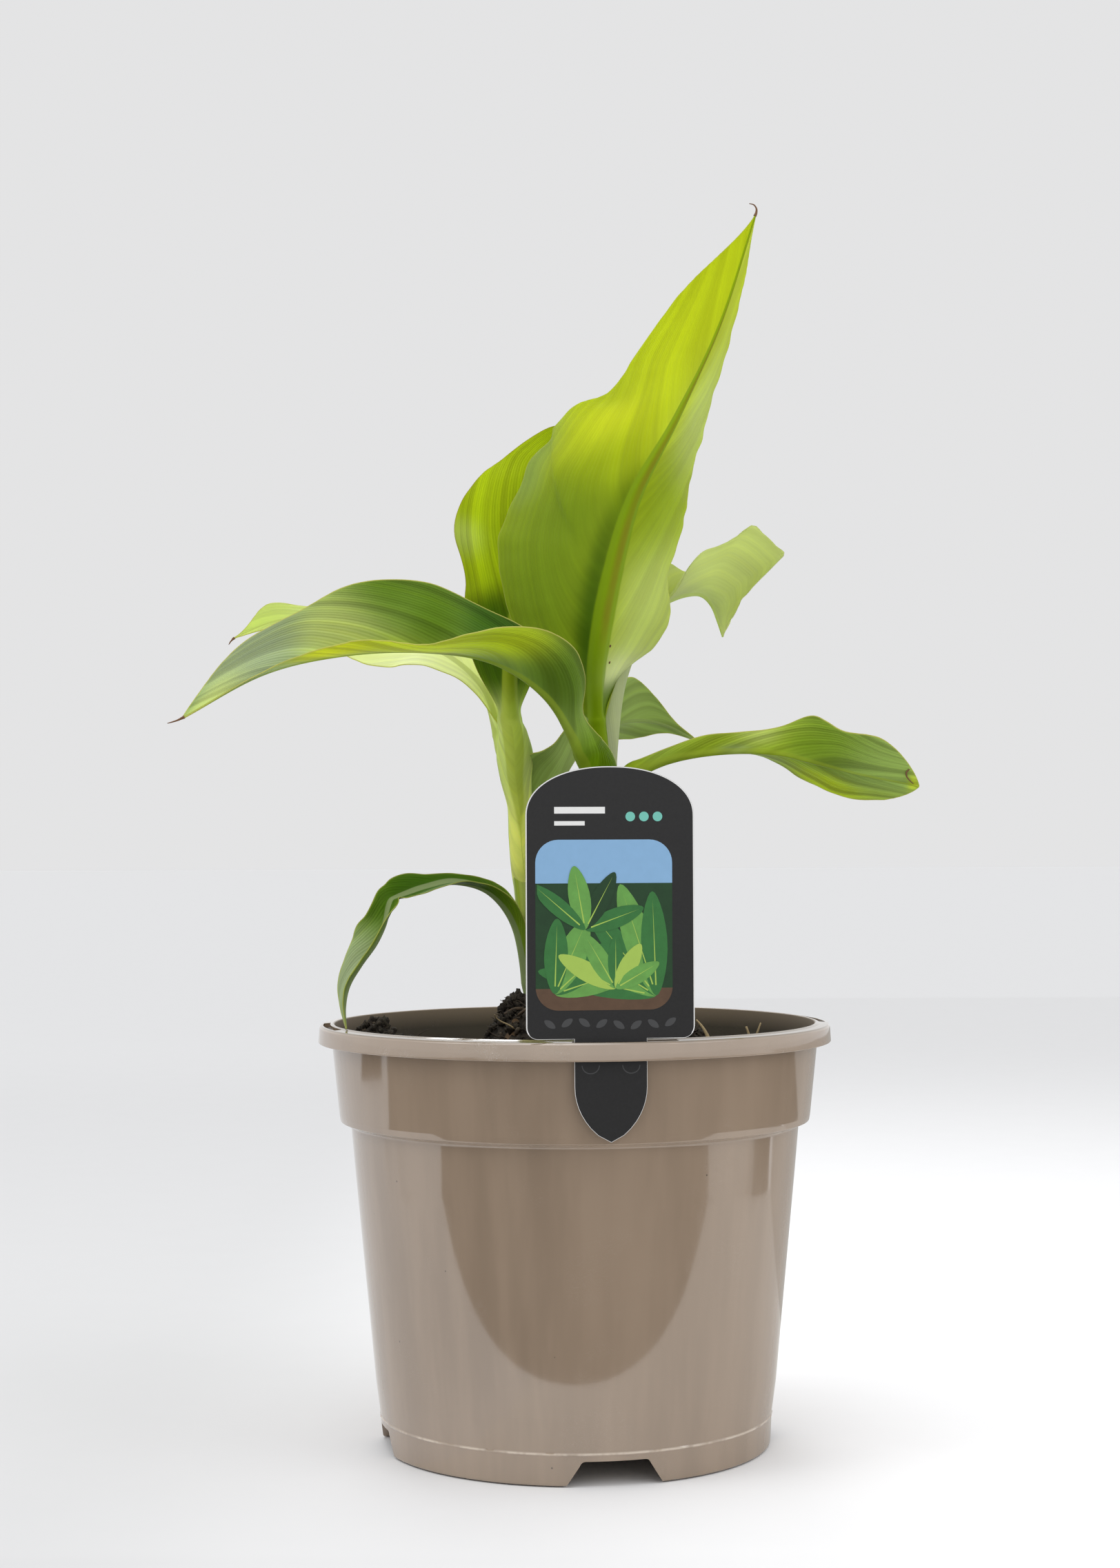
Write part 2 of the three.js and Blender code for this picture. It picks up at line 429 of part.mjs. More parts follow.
// each petiole is cut clear of the stems and of the petioles set before it
const clear = [limb(STEM_MAIN, { ...stemShape, grow: GAP }), limb(STEM_SIDE, { ...stemShape, grow: GAP })].map(toSolid);
const petioles = {};
for (const [name, leaf] of Object.entries(LEAVES)) {
  if (!leaf.petiole) continue;
  let solid = toSolid(limb(leaf.petiole, petioleShape));
  for (const c of clear) if (solid.intersect(c).volume() > 1e-6) solid = solid.subtract(c);
  const parts = solid.decompose().sort((a, b) => b.volume() - a.volume());
  petioles[name] = parts[0];
  clear.push(toSolid(limb(leaf.petiole, { ...petioleShape, grow: GAP })));
}

const pockets = [STEM_MAIN, STEM_SIDE].map((rows) => {
  const [x, y, z, rx, ry] = rows[0];
  return limb([[x, y, z - GAP, rx + GAP + 0.5, ry + GAP + 0.5], [x, y, z + 40, rx + GAP + 0.5, ry + GAP + 0.5]], { rings: 1, sides: STEM_SIDES, level: true });
});
const droop = LEAVES.droop_arch.petiole;
pockets.push(limb(droop, { ...petioleShape, grow: GAP + 0.4 }));

add('pot', potGeometry(), POT_PAINT());
add('compost', compostGeometry(pockets), SOIL_PAINT());
add('plant_label', labelGeometry(), CARD_PAINT());
add('pseudostem_main', limb(STEM_MAIN, stemShape), STEM_PAINT());
add('pseudostem_side', limb(STEM_SIDE, stemShape), STEM_PAINT());
for (const [name, leaf] of Object.entries(LEAVES)) {
  if (petioles[name]) add(`petiole_${name.replace('_arch', '')}`, fromSolid(petioles[name]), STEM_PAINT());
  const geometry = blade(leaf);
  let solid = toSolid(geometry), cut = false;
  for (const c of clear) if (solid.intersect(c).volume() > 1e-6) {
    solid = solid.subtract(c);
    cut = true;
  }
  const parts = solid.decompose().sort((a, b) => b.volume() - a.volume());
  add(`blade_${name}`, cut ? fromSolid(parts[0]) : geometry, LEAF_PAINT());
}

// the origin is the middle of the whole plant's box, at the level it stands on
const box = new THREE.Box3().setFromObject(plant);
plant.position.set(-(box.min.x + box.max.x) / 2, -(box.min.y + box.max.y) / 2, 0);
plant.updateMatrixWorld(true);

export default plant;
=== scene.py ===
import math

import bmesh
import bpy
import numpy as np
from mathutils import Matrix, Vector


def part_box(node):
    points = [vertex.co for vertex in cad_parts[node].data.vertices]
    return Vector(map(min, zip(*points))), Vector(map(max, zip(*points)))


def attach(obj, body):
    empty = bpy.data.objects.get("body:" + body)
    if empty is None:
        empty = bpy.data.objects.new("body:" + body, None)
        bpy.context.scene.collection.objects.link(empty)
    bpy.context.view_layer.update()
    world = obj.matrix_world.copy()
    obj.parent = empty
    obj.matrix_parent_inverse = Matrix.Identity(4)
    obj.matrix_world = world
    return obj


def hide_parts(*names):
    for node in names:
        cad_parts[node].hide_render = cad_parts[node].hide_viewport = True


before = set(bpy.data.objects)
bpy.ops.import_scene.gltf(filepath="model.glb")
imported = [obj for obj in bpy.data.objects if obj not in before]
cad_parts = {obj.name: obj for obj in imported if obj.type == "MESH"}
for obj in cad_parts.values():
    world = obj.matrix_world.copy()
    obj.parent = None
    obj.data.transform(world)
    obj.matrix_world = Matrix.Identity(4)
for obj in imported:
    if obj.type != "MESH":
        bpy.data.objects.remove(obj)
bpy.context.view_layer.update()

POT_LO, POT_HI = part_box("pot")
MM = 0.001
SHIFT = np.array([(POT_LO.x + POT_HI.x) / 2, (POT_LO.y + POT_HI.y) / 2, POT_LO.z])
DEG = math.pi / 180
rng = np.random.default_rng(11)


# ------------------------------------------------------------------ meshes
def mesh_object(name, co, quads=(), tris=(), mats=(), slots=None, attrs=None, smooth=True):
    """An object from points in millimetres, faces, a material number per face and float attributes per point."""
    co = np.asarray(co, float) * MM + SHIFT
    quads = np.asarray(quads, int).reshape(-1, 4)
    tris = np.asarray(tris, int).reshape(-1, 3)
    me = bpy.data.meshes.new(name)
    me.vertices.add(len(co))
    me.vertices.foreach_set("co", co.astype(np.float32).ravel())
    me.loops.add(quads.size + tris.size)
    me.loops.foreach_set("vertex_index", np.concatenate([quads.ravel(), tris.ravel()]).astype(np.int32))
    me.polygons.add(len(quads) + len(tris))
    starts = np.concatenate([np.arange(len(quads)) * 4, quads.size + np.arange(len(tris)) * 3])
    me.polygons.foreach_set("loop_start", starts.astype(np.int32))
    if slots is not None:
        me.polygons.foreach_set("material_index", np.asarray(slots, np.int32))
    me.polygons.foreach_set("use_smooth", np.full(len(quads) + len(tris), smooth))
    for m in mats:
        me.materials.append(m)
    me.update(calc_edges=True)
    for key, values in (attrs or {}).items():
        values = np.asarray(values, np.float32)
        if values.ndim == 2:
            a = me.attributes.new(key, "FLOAT_COLOR", "POINT")
            a.data.foreach_set("color", np.hstack([values, np.ones((len(values), 1))]).astype(np.float32).ravel())
        else:
            a = me.attributes.new(key, "FLOAT", "POINT")
            a.data.foreach_set("value", values)
    me.validate()
    ob = bpy.data.objects.new(name, me)
    bpy.context.scene.collection.objects.link(ob)
    return ob


def finish_piece(ob, slot, *nodes):
    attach(ob, "root")
    if nodes:
        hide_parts(*nodes)
    return ob


def cr(values, t):
    """A smooth run through evenly spaced values or rows, at each t from 0 to 1."""
    v = np.asarray(values, float)
    flat = v.ndim == 1
    if flat:
        v = v[:, None]
    n = len(v)
    ext = np.vstack([2 * v[0] - v[1], v, 2 * v[-1] - v[-2]])
    x = np.clip(np.atleast_1d(t), 0, 1) * (n - 1)
    i = np.minimum(x.astype(int), n - 2)
    f = (x - i)[:, None]
    a, b, c, d = ext[i], ext[i + 1], ext[i + 2], ext[i + 3]
    out = 0.5 * (2 * b + (c - a) * f + (2 * a - 5 * b + 4 * c - d) * f ** 2 + (3 * b - 3 * c + d - a) * f ** 3)
    return out[:, 0] if flat else out


def unit(v):
    return v / np.maximum(np.linalg.norm(v, axis=-1, keepdims=True), 1e-9)


def smoothstep(a, b, x):
    u = np.clip((np.asarray(x, float) - a) / (b - a), 0, 1)
    return u * u * (3 - 2 * u)


def waves(p, seed, scale, octaves=3):
    """Soft irregular values of about -1 to 1 at points p, from a few crossed sine waves."""
    r = np.random.default_rng(seed)
    out = np.zeros(len(p))
    amp, total = 1.0, 0.0
    for _ in range(octaves):
        for _ in range(4):
            k = r.normal(size=p.shape[1])
            k = k / np.linalg.norm(k) * 2 * math.pi / scale
            out += amp * np.sin(p @ k + r.uniform(0, 2 * math.pi)) / 2
        total += amp
        amp *= 0.5
        scale *= 0.47
    return out / total


# ------------------------------------------------------------------ materials
class Nodes:
    """Builds a material's nodes from short calls."""

    def __init__(self, name):
        self.mat = bpy.data.materials.new(name)
        self.mat.use_nodes = True
        self.tree = self.mat.node_tree
        self.tree.nodes.clear()
        self.out = self.tree.nodes.new("ShaderNodeOutputMaterial")

    def node(self, kind, **props):
        n = self.tree.nodes.new(kind)
        for k, v in props.items():
            setattr(n, k, v)
        return n

    def put(self, socket, value):
        if hasattr(value, "is_output"):
            self.tree.links.new(value, socket)
        elif isinstance(value, (tuple, list)) and len(value) == 3 and socket.type == "RGBA":
            socket.default_value = (*value, 1)
        else:
            socket.default_value = value

    def attr(self, name, colour=False):
        n = self.node("ShaderNodeAttribute", attribute_name=name)
        return n.outputs["Color" if colour else "Fac"]

    def place(self):
        return self.node("ShaderNodeNewGeometry").outputs["Position"]

    def math(self, op, a, b=0.0, c=None, clamp=False):
        n = self.node("ShaderNodeMath", operation=op, use_clamp=clamp)
        self.put(n.inputs[0], a)
        self.put(n.inputs[1], b)
        if c is not None:
            self.put(n.inputs[2], c)
        return n.outputs[0]

    def mul(self, a, b):
        return self.math("MULTIPLY", a, b)

    def add(self, a, b):
        return self.math("ADD", a, b)

    def ramp(self, x, a, b, to0=0.0, to1=1.0):
        n = self.node("ShaderNodeMapRange", interpolation_type="SMOOTHSTEP")
        for s, v in zip(("Value", "From Min", "From Max", "To Min", "To Max"), (x, a, b, to0, to1)):
            self.put(n.inputs[s], v)
        return n.outputs[0]

    def mix(self, fac, a, b, blend="MIX"):
        n = self.node("ShaderNodeMix", data_type="RGBA", blend_type=blend)
        self.put(n.inputs["Factor"], fac)
        self.put(n.inputs["A"], a)
        self.put(n.inputs["B"], b)
        for o in n.outputs:
            if o.type == "RGBA":
                return o

    def vector(self, x, y, z):
        n = self.node("ShaderNodeCombineXYZ")
        for s, v in zip(n.inputs, (x, y, z)):
            self.put(s, v)
        return n.outputs[0]

    def scaled(self, vec, sx, sy, sz):
        n = self.node("ShaderNodeVectorMath", operation="MULTIPLY")
        self.put(n.inputs[0], vec)
        n.inputs[1].default_value = (sx, sy, sz)
        return n.outputs[0]

    def noise(self, vec, scale, detail=2.0, rough=0.5, distort=0.0):
        n = self.node("ShaderNodeTexNoise")
        self.put(n.inputs["Vector"], vec)
        self.put(n.inputs["Scale"], scale)
        n.inputs["Detail"].default_value = detail
        n.inputs["Roughness"].default_value = rough
        n.inputs["Distortion"].default_value = distort
        return n.outputs["Fac"]

    def cells(self, vec, scale, feature="F1"):
        n = self.node("ShaderNodeTexVoronoi", feature=feature)
        self.put(n.inputs["Vector"], vec)
        self.put(n.inputs["Scale"], scale)
        return n

    def bright(self, colour, by):
        """The colour times a number."""
        n = self.node("ShaderNodeVectorMath", operation="SCALE")
        self.put(n.inputs[0], colour)
        self.put(n.inputs["Scale"], by)
        return n.outputs[0]

    def bump(self, height, distance, strength=1.0, normal=None):
        n = self.node("ShaderNodeBump")
        self.put(n.inputs["Height"], height)
        n.inputs["Distance"].default_value = distance
        n.inputs["Strength"].default_value = strength
        if normal is not None:
            self.put(n.inputs["Normal"], normal)
        return n.outputs[0]

    def surface(self, colour, rough=0.5, normal=None, spec=0.5, coat=0.0, coat_rough=0.1, subsurface=0.0, radius=(1, 0.4, 0.2), ior=1.5, sheen_tint=(1, 1, 1)):
        n = self.node("ShaderNodeBsdfPrincipled")
        n.inputs["IOR"].default_value = ior
        self.put(n.inputs["Base Color"], colour)
        self.put(n.inputs["Roughness"], rough)
        n.inputs["Specular IOR Level"].default_value = spec
        n.inputs["Specular Tint"].default_value = (*sheen_tint, 1)
        if normal is not None:
            self.put(n.inputs["Normal"], normal)
        if coat:
            n.inputs["Coat Weight"].default_value = coat
            n.inputs["Coat Roughness"].default_value = coat_rough
        if subsurface:
            n.inputs["Subsurface Weight"].default_value = subsurface
            n.inputs["Subsurface Radius"].default_value = radius
            n.inputs["Subsurface Scale"].default_value = 0.002
        return n.outputs[0]

    def through(self, colour, shader, fac, normal=None):
        """Mixes light that comes through a thin leaf into a shader."""
        t = self.node("ShaderNodeBsdfTranslucent")
        self.put(t.inputs["Color"], colour)
        if normal is not None:
            self.put(t.inputs["Normal"], normal)
        m = self.node("ShaderNodeMixShader")
        self.put(m.inputs[0], fac)
        self.tree.links.new(shader, m.inputs[1])
        self.tree.links.new(t.outputs[0], m.inputs[2])
        return m.outputs[0]

    def done(self, shader):
        self.tree.links.new(shader, self.out.inputs["Surface"])
        return self.mat


def leaf_material(name, look, seed=0.0):
    """A thin ribbed leaf. It reads vein (place across the veins, mm), rib (distance from the midrib, mm), band (place
    across the midrib, -1 to 1), edge (distance from the margin, mm), face (1 on the upper face) and tint (the zone's
    colour)."""
    m = Nodes(name)
    vein, rib, band, edge, face = m.attr("vein"), m.attr("rib"), m.attr("band"), m.attr("edge"), m.attr("face")
    # tint holds the zones' colours, among them painted shade and painted light
    tint = m.attr("tint", colour=True)
    streaks, depth = look.get("streaks", 0.8), look.get("depth", 1.0)
    along_veins = m.vector(vein, m.mul(rib, 0.05), seed)
    broad = m.noise(along_veins, 0.16, 2.0, 0.55)
    medium = m.noise(along_veins, 0.5, 2.0, 0.55)
    fine = m.noise(m.vector(vein, m.mul(rib, 0.03), seed + 3.0), 1.7, 1.0, 0.5)
    cloud = m.noise(m.place(), 26.0, 2.0, 0.5)
    calm = m.ramp(m.attr("along"), 0.97, 0.72, 0.12, 1.0)
    value = m.mul(calm, m.add(m.mul(m.math("SUBTRACT", medium, 0.5), 0.42 * streaks), m.mul(m.math("SUBTRACT", fine, 0.5), 0.26 * streaks)))
    value = m.add(value, m.ramp(broad, 0.34, 0.66, -0.14 * streaks - look.get("bands", 0.0), 0.14 * streaks + 0.7 * look.get("bands", 0.0)))
    value = m.add(value, m.mul(m.math("SUBTRACT", cloud, 0.5), 0.3))
    colour = m.bright(tint, m.add(value, 1.0))
    yellower = m.mix(1.0, colour, (1.1, 1.05, 0.6), "MULTIPLY")
    colour = m.mix(m.ramp(medium, 0.48, 0.72, 0.0, 0.5 * streaks), colour, yellower)
    # the midrib
    across = m.math("ABSOLUTE", band)
    colour = m.mix(m.mul(m.ramp(across, 1.08, 0.82), look.get("rib_shows", 0.6)), colour, look["rib"])
    if "line" in look:
        line = m.ramp(m.math("ABSOLUTE", m.add(band, look["line"][0])), look["line"][1], 0.04)
        line = m.mul(m.mul(line, m.ramp(face, 0.2, -0.2)), m.ramp(m.noise(m.place(), 40.0, 2.0), 0.3, 0.6, 0.55, 1.0))
        line = m.mul(line, m.ramp(m.attr("along"), 0.16, 0.27))
        colour = m.mix(m.mul(line, look["line"][2]), colour, look["line"][3])
    colour = m.mix(m.ramp(edge, look.get("margin", 0.6), 0.12, 0.0, look.get("margin_shows", 0.75)), colour, look.get("margin_colour", (0.62, 0.60, 0.16)))
    waves_in = m.add(m.math("SINE", m.mul(vein, 2 * math.pi / 1.5)), m.mul(medium, 1.6))
    fade = m.mul(m.mul(m.ramp(across, 1.0, 1.8), m.ramp(edge, 0.3, 2.0)), calm)
    normal = m.bump(m.mul(waves_in, fade), 0.00007 * depth, 0.8)
    normal = m.bump(cloud, 0.0006, 0.25, normal)
    lit = m.mix(1.0, colour, (1.08, 1.16, 0.4), "MULTIPLY")
    shader = m.surface(colour, m.add(m.mul(medium, 0.12), look.get("rough", 0.42) - 0.06), normal, spec=look.get("spec", 0.2), sheen_tint=(1.0, 1.0, 0.3))
    return m.done(m.through(lit, shader, look.get("glow", 0.35), normal))


def stem_material(name, colour_a, colour_b, seed=0.0):
    """Smooth sheaths with fine lengthwise lines. It reads run (mm round the stem), tall (mm up), edge and tint."""
    m = Nodes(name)
    run, tall, edge = m.attr("run"), m.attr("tall"), m.attr("edge")
    tint = m.attr("tint", colour=True)
    lines = m.noise(m.vector(run, m.mul(tall, 0.02), seed), 0.9, 2.0, 0.6)
    wide = m.noise(m.vector(run, m.mul(tall, 0.03), seed + 5.0), 0.22, 1.0, 0.5)
    value = m.add(m.mul(m.math("SUBTRACT", lines, 0.5), 0.5), m.mul(m.math("SUBTRACT", wide, 0.5), 0.55))
    colour = m.bright(tint, m.add(value, 1.0))
    colour = m.mix(m.ramp(wide, 0.5, 0.75, 0.0, 0.5), colour, m.mix(1.0, colour, colour_a, "MULTIPLY"))
    colour = m.mix(m.ramp(edge, 0.8, 0.1, 0.0, 0.8), colour, colour_b)
    normal = m.bump(lines, 0.0002, 0.5)
    return m.done(m.surface(colour, 0.4, normal, spec=0.2, subsurface=0.12, radius=(0.8, 1.0, 0.2), sheen_tint=(1.0, 1.0, 0.3)))


def plastic_material(name="taupe_plastic", spec=1.0, ior=1.62, coat=0.22):
    m = Nodes(name)
    place = m.place()
    inside, rim = m.attr("inside"), m.attr("rim")
    flow = m.noise(m.scaled(place, 1.0, 1.0, 0.12), 60.0, 3.0, 0.55)
    slow = m.noise(m.scaled(place, 1.0, 1.0, 0.3), 16.0, 2.0, 0.5)
    colour = m.mix(m.ramp(flow, 0.3, 0.75), (0.258, 0.192, 0.137), (0.32, 0.241, 0.174))
    colour = m.mix(m.ramp(slow, 0.35, 0.7, 0.0, 0.5), colour, (0.31, 0.231, 0.165))
    # painted shade: the far inner wall takes a much darker, greyer colour than the outside, for the shade inside the
    # pot, mottled by a noise
    inner_mottle = m.noise(m.scaled(place, 1.0, 1.0, 0.5), 22.0, 2.0, 0.5)
    colour = m.mix(inside, colour, m.mix(m.ramp(inner_mottle, 0.5, 0.75, 0.0, 0.6), (0.052, 0.041, 0.025), (0.094, 0.076, 0.05)))
    # small dark specks
    cell = m.cells(place, 95.0)
    pick = m.ramp(m.node_value(cell, "Color"), 0.76, 0.765)
    specks = m.mul(m.ramp(cell.outputs["Distance"], 0.055, 0.025), pick)
    colour = m.mix(m.mul(specks, 0.8), colour, (0.025, 0.018, 0.014))
    # whitish scuffs, mostly on the rim band
    where = m.ramp(m.noise(place, 34.0, 2.0, 0.6), 0.52, 0.66)
    thread = m.noise(m.scaled(place, 1.0, 1.0, 1.7), 240.0, 4.0, 0.7, 1.3)
    scuff = m.mul(m.ramp(m.math("ABSOLUTE", m.math("SUBTRACT", thread, 0.5)), 0.017, 0.0), where)
    scuff = m.mul(scuff, m.add(m.mul(rim, 0.75), 0.06))
    grit = m.cells(place, 420.0)
    dots = m.mul(m.mul(m.ramp(grit.outputs["Distance"], 0.24, 0.1), m.ramp(m.node_value(grit, "Color"), 0.86, 0.88)), m.mul(where, m.add(m.mul(rim, 0.7), 0.04)))
    marks = m.math("MAXIMUM", scuff, dots)
    colour = m.mix(marks, colour, (0.62, 0.58, 0.54))
    top = m.attr("top")
    # painted light: the outer rim band is painted a lighter tone than the body, for the brighter light it shows
    colour = m.mix(m.mul(rim, 0.5), colour, (0.34, 0.262, 0.195))
    # painted shade: the flat top of the rim is painted darker, to tone down the light it catches
    colour = m.mix(top, colour, (0.19, 0.142, 0.095))
    flash = m.mul(m.attr("flash"), m.ramp(m.noise(m.scaled(place, 1.0, 1.0, 0.3), 70.0, 3.0, 0.7), 0.38, 0.54, 0.3, 1.0))
    colour = m.mix(m.mul(flash, 0.95), colour, (0.62, 0.52, 0.42))
    height = m.add(m.mul(flow, 0.6), m.mul(marks, 0.35))
    normal = m.bump(height, 0.00035, 0.35)
    rough = m.add(m.add(0.055, m.mul(flow, 0.05)), m.add(m.mul(marks, 0.4), m.mul(inside, 0.45)))
    return m.done(m.surface(colour, rough, normal, spec=spec, ior=ior, coat=coat, coat_rough=0.04))


def node_value(self, node, output):
    n = self.node("ShaderNodeSeparateColor")
    self.tree.links.new(node.outputs[output], n.inputs[0])
    return n.outputs[0]


Nodes.node_value = node_value


def soil_material(name, dark, light, straw=0.0):
    m = Nodes(name)
    place = m.place()
    rough_bits = m.noise(place, 420.0, 4.0, 0.7)
    lumps = m.noise(place, 90.0, 3.0, 0.6)
    colour = m.mix(m.ramp(rough_bits, 0.35, 0.7), dark, light)
    colour = m.mix(m.ramp(lumps, 0.55, 0.75, 0.0, 0.6), colour, m.mix(1.0, colour, (1.5, 1.35, 1.1), "MULTIPLY"))
    if straw:
        cell = m.cells(place, 300.0)
        colour = m.mix(m.mul(m.ramp(m.node_value(cell, "Color"), 0.93, 0.95), straw), colour, (0.2, 0.12, 0.06))
    normal = m.bump(rough_bits, 0.0009, 0.9)
    return m.done(m.surface(colour, 0.88, normal, spec=0.25))


def plain_material(name, colour, rough=0.5, mottle=0.06, scale=300.0, spec=0.4, depth=0.0):
    m = Nodes(name)
    grain = m.noise(m.place(), scale, 3.0, 0.6)
    c = m.bright(colour, m.add(1.0 - mottle, m.mul(grain, 2 * mottle)))
    normal = m.bump(grain, depth, 0.5) if depth else None
    return m.done(m.surface(c, rough, normal, spec=spec))
